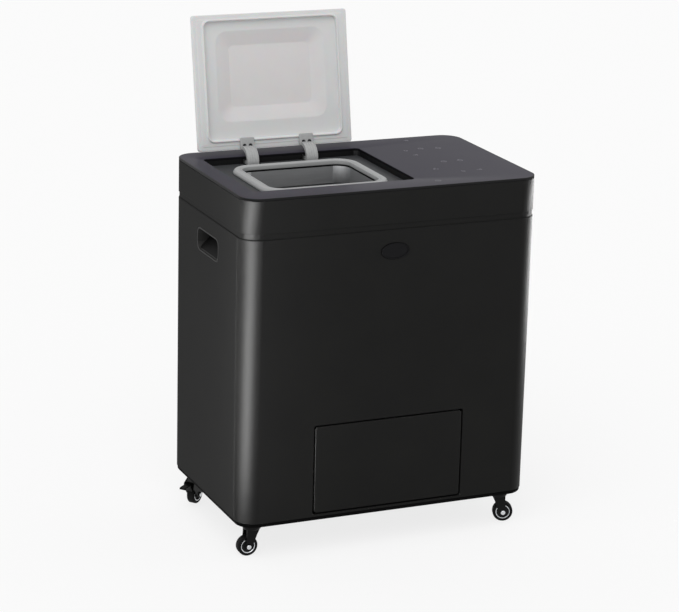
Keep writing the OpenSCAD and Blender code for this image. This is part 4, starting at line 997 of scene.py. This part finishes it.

# %% [markdown]
# ## Grip pads of painted shade
# The floor of each side grip slopes up and inwards, so that fingers hook over it. A thin pad of black
# rubber lies on that slope: a dark sheet that paints the shade falling there. It is a flat rounded
# strip, tilted to the slope of the cup.

# %% Grip pads of painted shade
grip_low, grip_high = size_of("grip_cup_left")
grip_z = (grip_low[2] + grip_high[2]) / 2
slope_foot, slope_head = Vector((3, -16.5)), Vector((22, 1.9))
slope = slope_head - slope_foot
tilt = math.atan2(slope[1], slope[0])
pad_long, pad_wide, pad_corner = 84, slope.length - 3, 3
pad_steps = [(0, 0.05), (0, 0.5), (0.3, 0.8)]
middle = (slope_foot + slope_head) / 2
for side, name in ((-1, "left"), (1, "right")):
    mesh = skin([rounded_ring(pad_wide - 2 * inset, pad_long - 2 * inset, pad_corner - inset, z)
                 for inset, z in pad_steps])
    spot = Vector((side * (body_width / 2 - middle[0]), middle_y, grip_z + middle[1]))
    lay = Matrix.Translation(spot * MM) @ Matrix.Rotation(side * tilt, 4, "Y")
    put_together("grip_shade_pad_" + name, [mesh], "tyre_rubber", "cabinet", moved=lay)

# %% [markdown]
# ## Floor, light and camera
# The object stands on a pale floor in front of a pale wall. Both have two jobs: the camera and
# the mirrors see them, and their light falls on the object. A few nodes tell the rays that only
# look from the rays that carry light, so that each job can have its own brightness.

# %% Rays that show the background
def background_ray(owner):
    """Is 1 for rays from the camera, by reflection or through glass, which show the background."""
    rays = add_node(owner, "ShaderNodeLightPath")
    mirror = add_node(owner, "ShaderNodeMath", {"operation": "MAXIMUM"},
                      {0: (rays, "Is Camera Ray"), 1: (rays, "Is Glossy Ray")})
    return add_node(owner, "ShaderNodeMath", {"operation": "MAXIMUM"},
                    {0: (mirror, 0), 1: (rays, "Is Transmission Ray")})


# %% [markdown]
# The floor is a sheet of pale paper that has to meet the wall behind it with no line between
# them, and still take the soft shadow of the object. So most of its light, as the camera sees
# it, is a glow of its own, and the rest is light that falls on it.

# %% Pale paper for the floor
floor_paint = new_material("pale_floor", "#f4f4f4", 0.8, Specular_IOR_Level=0.0)
floor_grain = pattern(floor_paint, "ShaderNodeTexNoise", size_mm=4, Detail=2.0)
vary(floor_paint, floor_grain, "Fac", "Base Color", "#f3f3f3", "#f6f6f6")
glow_part = 0.8
paper_glow = add_node(floor_paint, "ShaderNodeEmission", None,
                      {"Color": linear("#ffffff"), "Strength": 1.0})
glow_share = add_node(floor_paint, "ShaderNodeMath", {"operation": "MULTIPLY"},
                      {0: (background_ray(floor_paint), 0), 1: glow_part})
floor_shader = floor_paint.node_tree.nodes["Principled BSDF"]
floor_look = add_node(floor_paint, "ShaderNodeMixShader", None,
                      {0: (glow_share, 0), 1: (floor_shader, 0), 2: (paper_glow, 0)})
floor_out = floor_paint.node_tree.nodes["Material Output"]
floor_paint.node_tree.links.new(floor_look.outputs[0], floor_out.inputs["Surface"])
print("floor: glow mixed in at", glow_part)

# %% [markdown]
# The floor itself is one very large square, so that its edge never comes into the picture. It
# belongs to the stage and not to the object.

# %% Floor
reach = 30000
floor_corners = ((-reach, -reach), (reach, -reach), (reach, reach), (-reach, reach))
floor_mesh = bmesh.new()
floor_mesh.faces.new([floor_mesh.verts.new(Vector((x, y, 0)) * MM) for x, y in floor_corners])
floor_data = bpy.data.meshes.new("studio_floor")
floor_mesh.to_mesh(floor_data)
floor_mesh.free()
floor = bpy.data.objects.new("studio_floor", floor_data)
bpy.context.scene.collection.objects.link(floor)
floor_data.materials.append(floor_paint)
print("floor reaches", round(reach * MM), "m each way")

# %% [markdown]
# The wall is the world itself. The camera and all mirrors see it pale, while its soft light
# falls on the object a good deal weaker, so that the black stays black.

# %% Wall and soft light from all round
world = bpy.data.worlds.new("studio")
bpy.context.scene.world = world
world.use_nodes = True
world.node_tree.nodes.clear()
sky_strength, seen_strength = 0.62, 1.0
backdrop = add_node(world, "ShaderNodeBackground", None,
                    {"Color": linear("#fafafa"), "Strength": seen_strength})
soft_sky = add_node(world, "ShaderNodeBackground", None,
                    {"Color": (1, 1, 1, 1), "Strength": sky_strength})
sky_look = add_node(world, "ShaderNodeMixShader", None,
                    {0: (background_ray(world), 0), 1: (soft_sky, 0), 2: (backdrop, 0)})
add_node(world, "ShaderNodeOutputWorld", None, {"Surface": (sky_look, 0)})
print("wall: strength", seen_strength, "as it is seen and", sky_strength, "as light")

# %% [markdown]
# The main light is a wide soft sun from the upper left. A sun is just as strong near the floor
# as at the top of the lid, and a wide one throws no hard shadow.

# %% Main light
sun_spread = 50
key_lamp = bpy.data.lights.new("key_light", "SUN")
key_lamp.energy = 1.1
key_lamp.angle = math.radians(sun_spread)
key_light = bpy.data.objects.new("key_light", key_lamp)
key_light.rotation_euler = Vector((0.4, 0.5, -0.8)).to_track_quat("-Z", "Y").to_euler()
bpy.context.scene.collection.objects.link(key_light)
print("sun spreads over", sun_spread, "degrees")

# %% [markdown]
# Black plastic shows its shape by what it mirrors, so a photographer sets a tall strip light
# beside each front corner. Here two strips draw the bright line down the left corner and the
# thin rim on the right. Each is placed by its direction and its distance from the corner that it
# serves. They are linked to the shells alone and light them only by reflection, so the pale lid
# keeps its even tone.

# %% Two strip lights
def strip_light(name, corner_x, azimuth, distance, wide, tall, radiance):
    """A softbox seen only in reflections, standing at an azimuth from a front corner."""
    lamp = bpy.data.lights.new(name, "AREA")
    lamp.shape = "RECTANGLE"
    lamp.size, lamp.size_y = wide * MM, tall * MM
    lamp.energy = radiance * math.pi * wide * tall * MM * MM
    holder = bpy.data.objects.new(name, lamp)
    turn = math.radians(azimuth)
    away = Vector((-math.sin(turn), -math.cos(turn), 0))
    corner_spot = Vector((corner_x, plate_low[1], tall / 2))
    holder.location = (corner_spot + away * distance) * MM
    holder.rotation_euler = (-away).to_track_quat("-Z", "Y").to_euler()
    holder.visible_diffuse = False
    holder.visible_camera = False
    holder.light_linking.receiver_collection = shells
    bpy.context.scene.collection.objects.link(holder)


shells = bpy.data.collections.new("shells")
for node in ("main_shell", "front_panel", "top_cover"):
    shells.objects.link(frame["nodes"][node])
shells.objects.link(bpy.data.objects["drawer_face"])
strip_light("corner_strip", plate_low[0], azimuth=59, distance=160, wide=170, tall=900,
            radiance=105)
strip_light("rim_strip", plate_high[0], azimuth=-97, distance=1300, wide=1100, tall=1400,
            radiance=46)

# %% [markdown]
# The camera has the place, the three directions and the long lens that were fitted to the
# photograph. It looks down a little, from the left of the middle. The sensor's width is free to
# choose, because the lens is worked out from it and from the focal length in pixels.

# %% Camera
camera_data = bpy.data.cameras.new("camera")
camera = bpy.data.objects.new("camera", camera_data)
bpy.context.scene.collection.objects.link(camera)
right = Vector((0.91773, -0.39645, 0.02467))
down = Vector((-0.09154, -0.27154, -0.95806))
ahead = Vector((0.38652, 0.87698, -0.28549))
place = Vector((-1540.6, middle_y - 3448.3, 1467.6)) * MM
camera.matrix_world = Matrix.Translation(place) @ Matrix((right, -down, -ahead)).transposed().to_4x4()
image_width, focal_pixels = 679, 2507.9
camera_data.sensor_width = 36
camera_data.lens = focal_pixels / image_width * camera_data.sensor_width
camera_data.clip_end = 100
bpy.context.scene.camera = camera
bpy.context.scene.view_settings.view_transform = "Standard"
print("lens", round(camera_data.lens, 1), "mm")
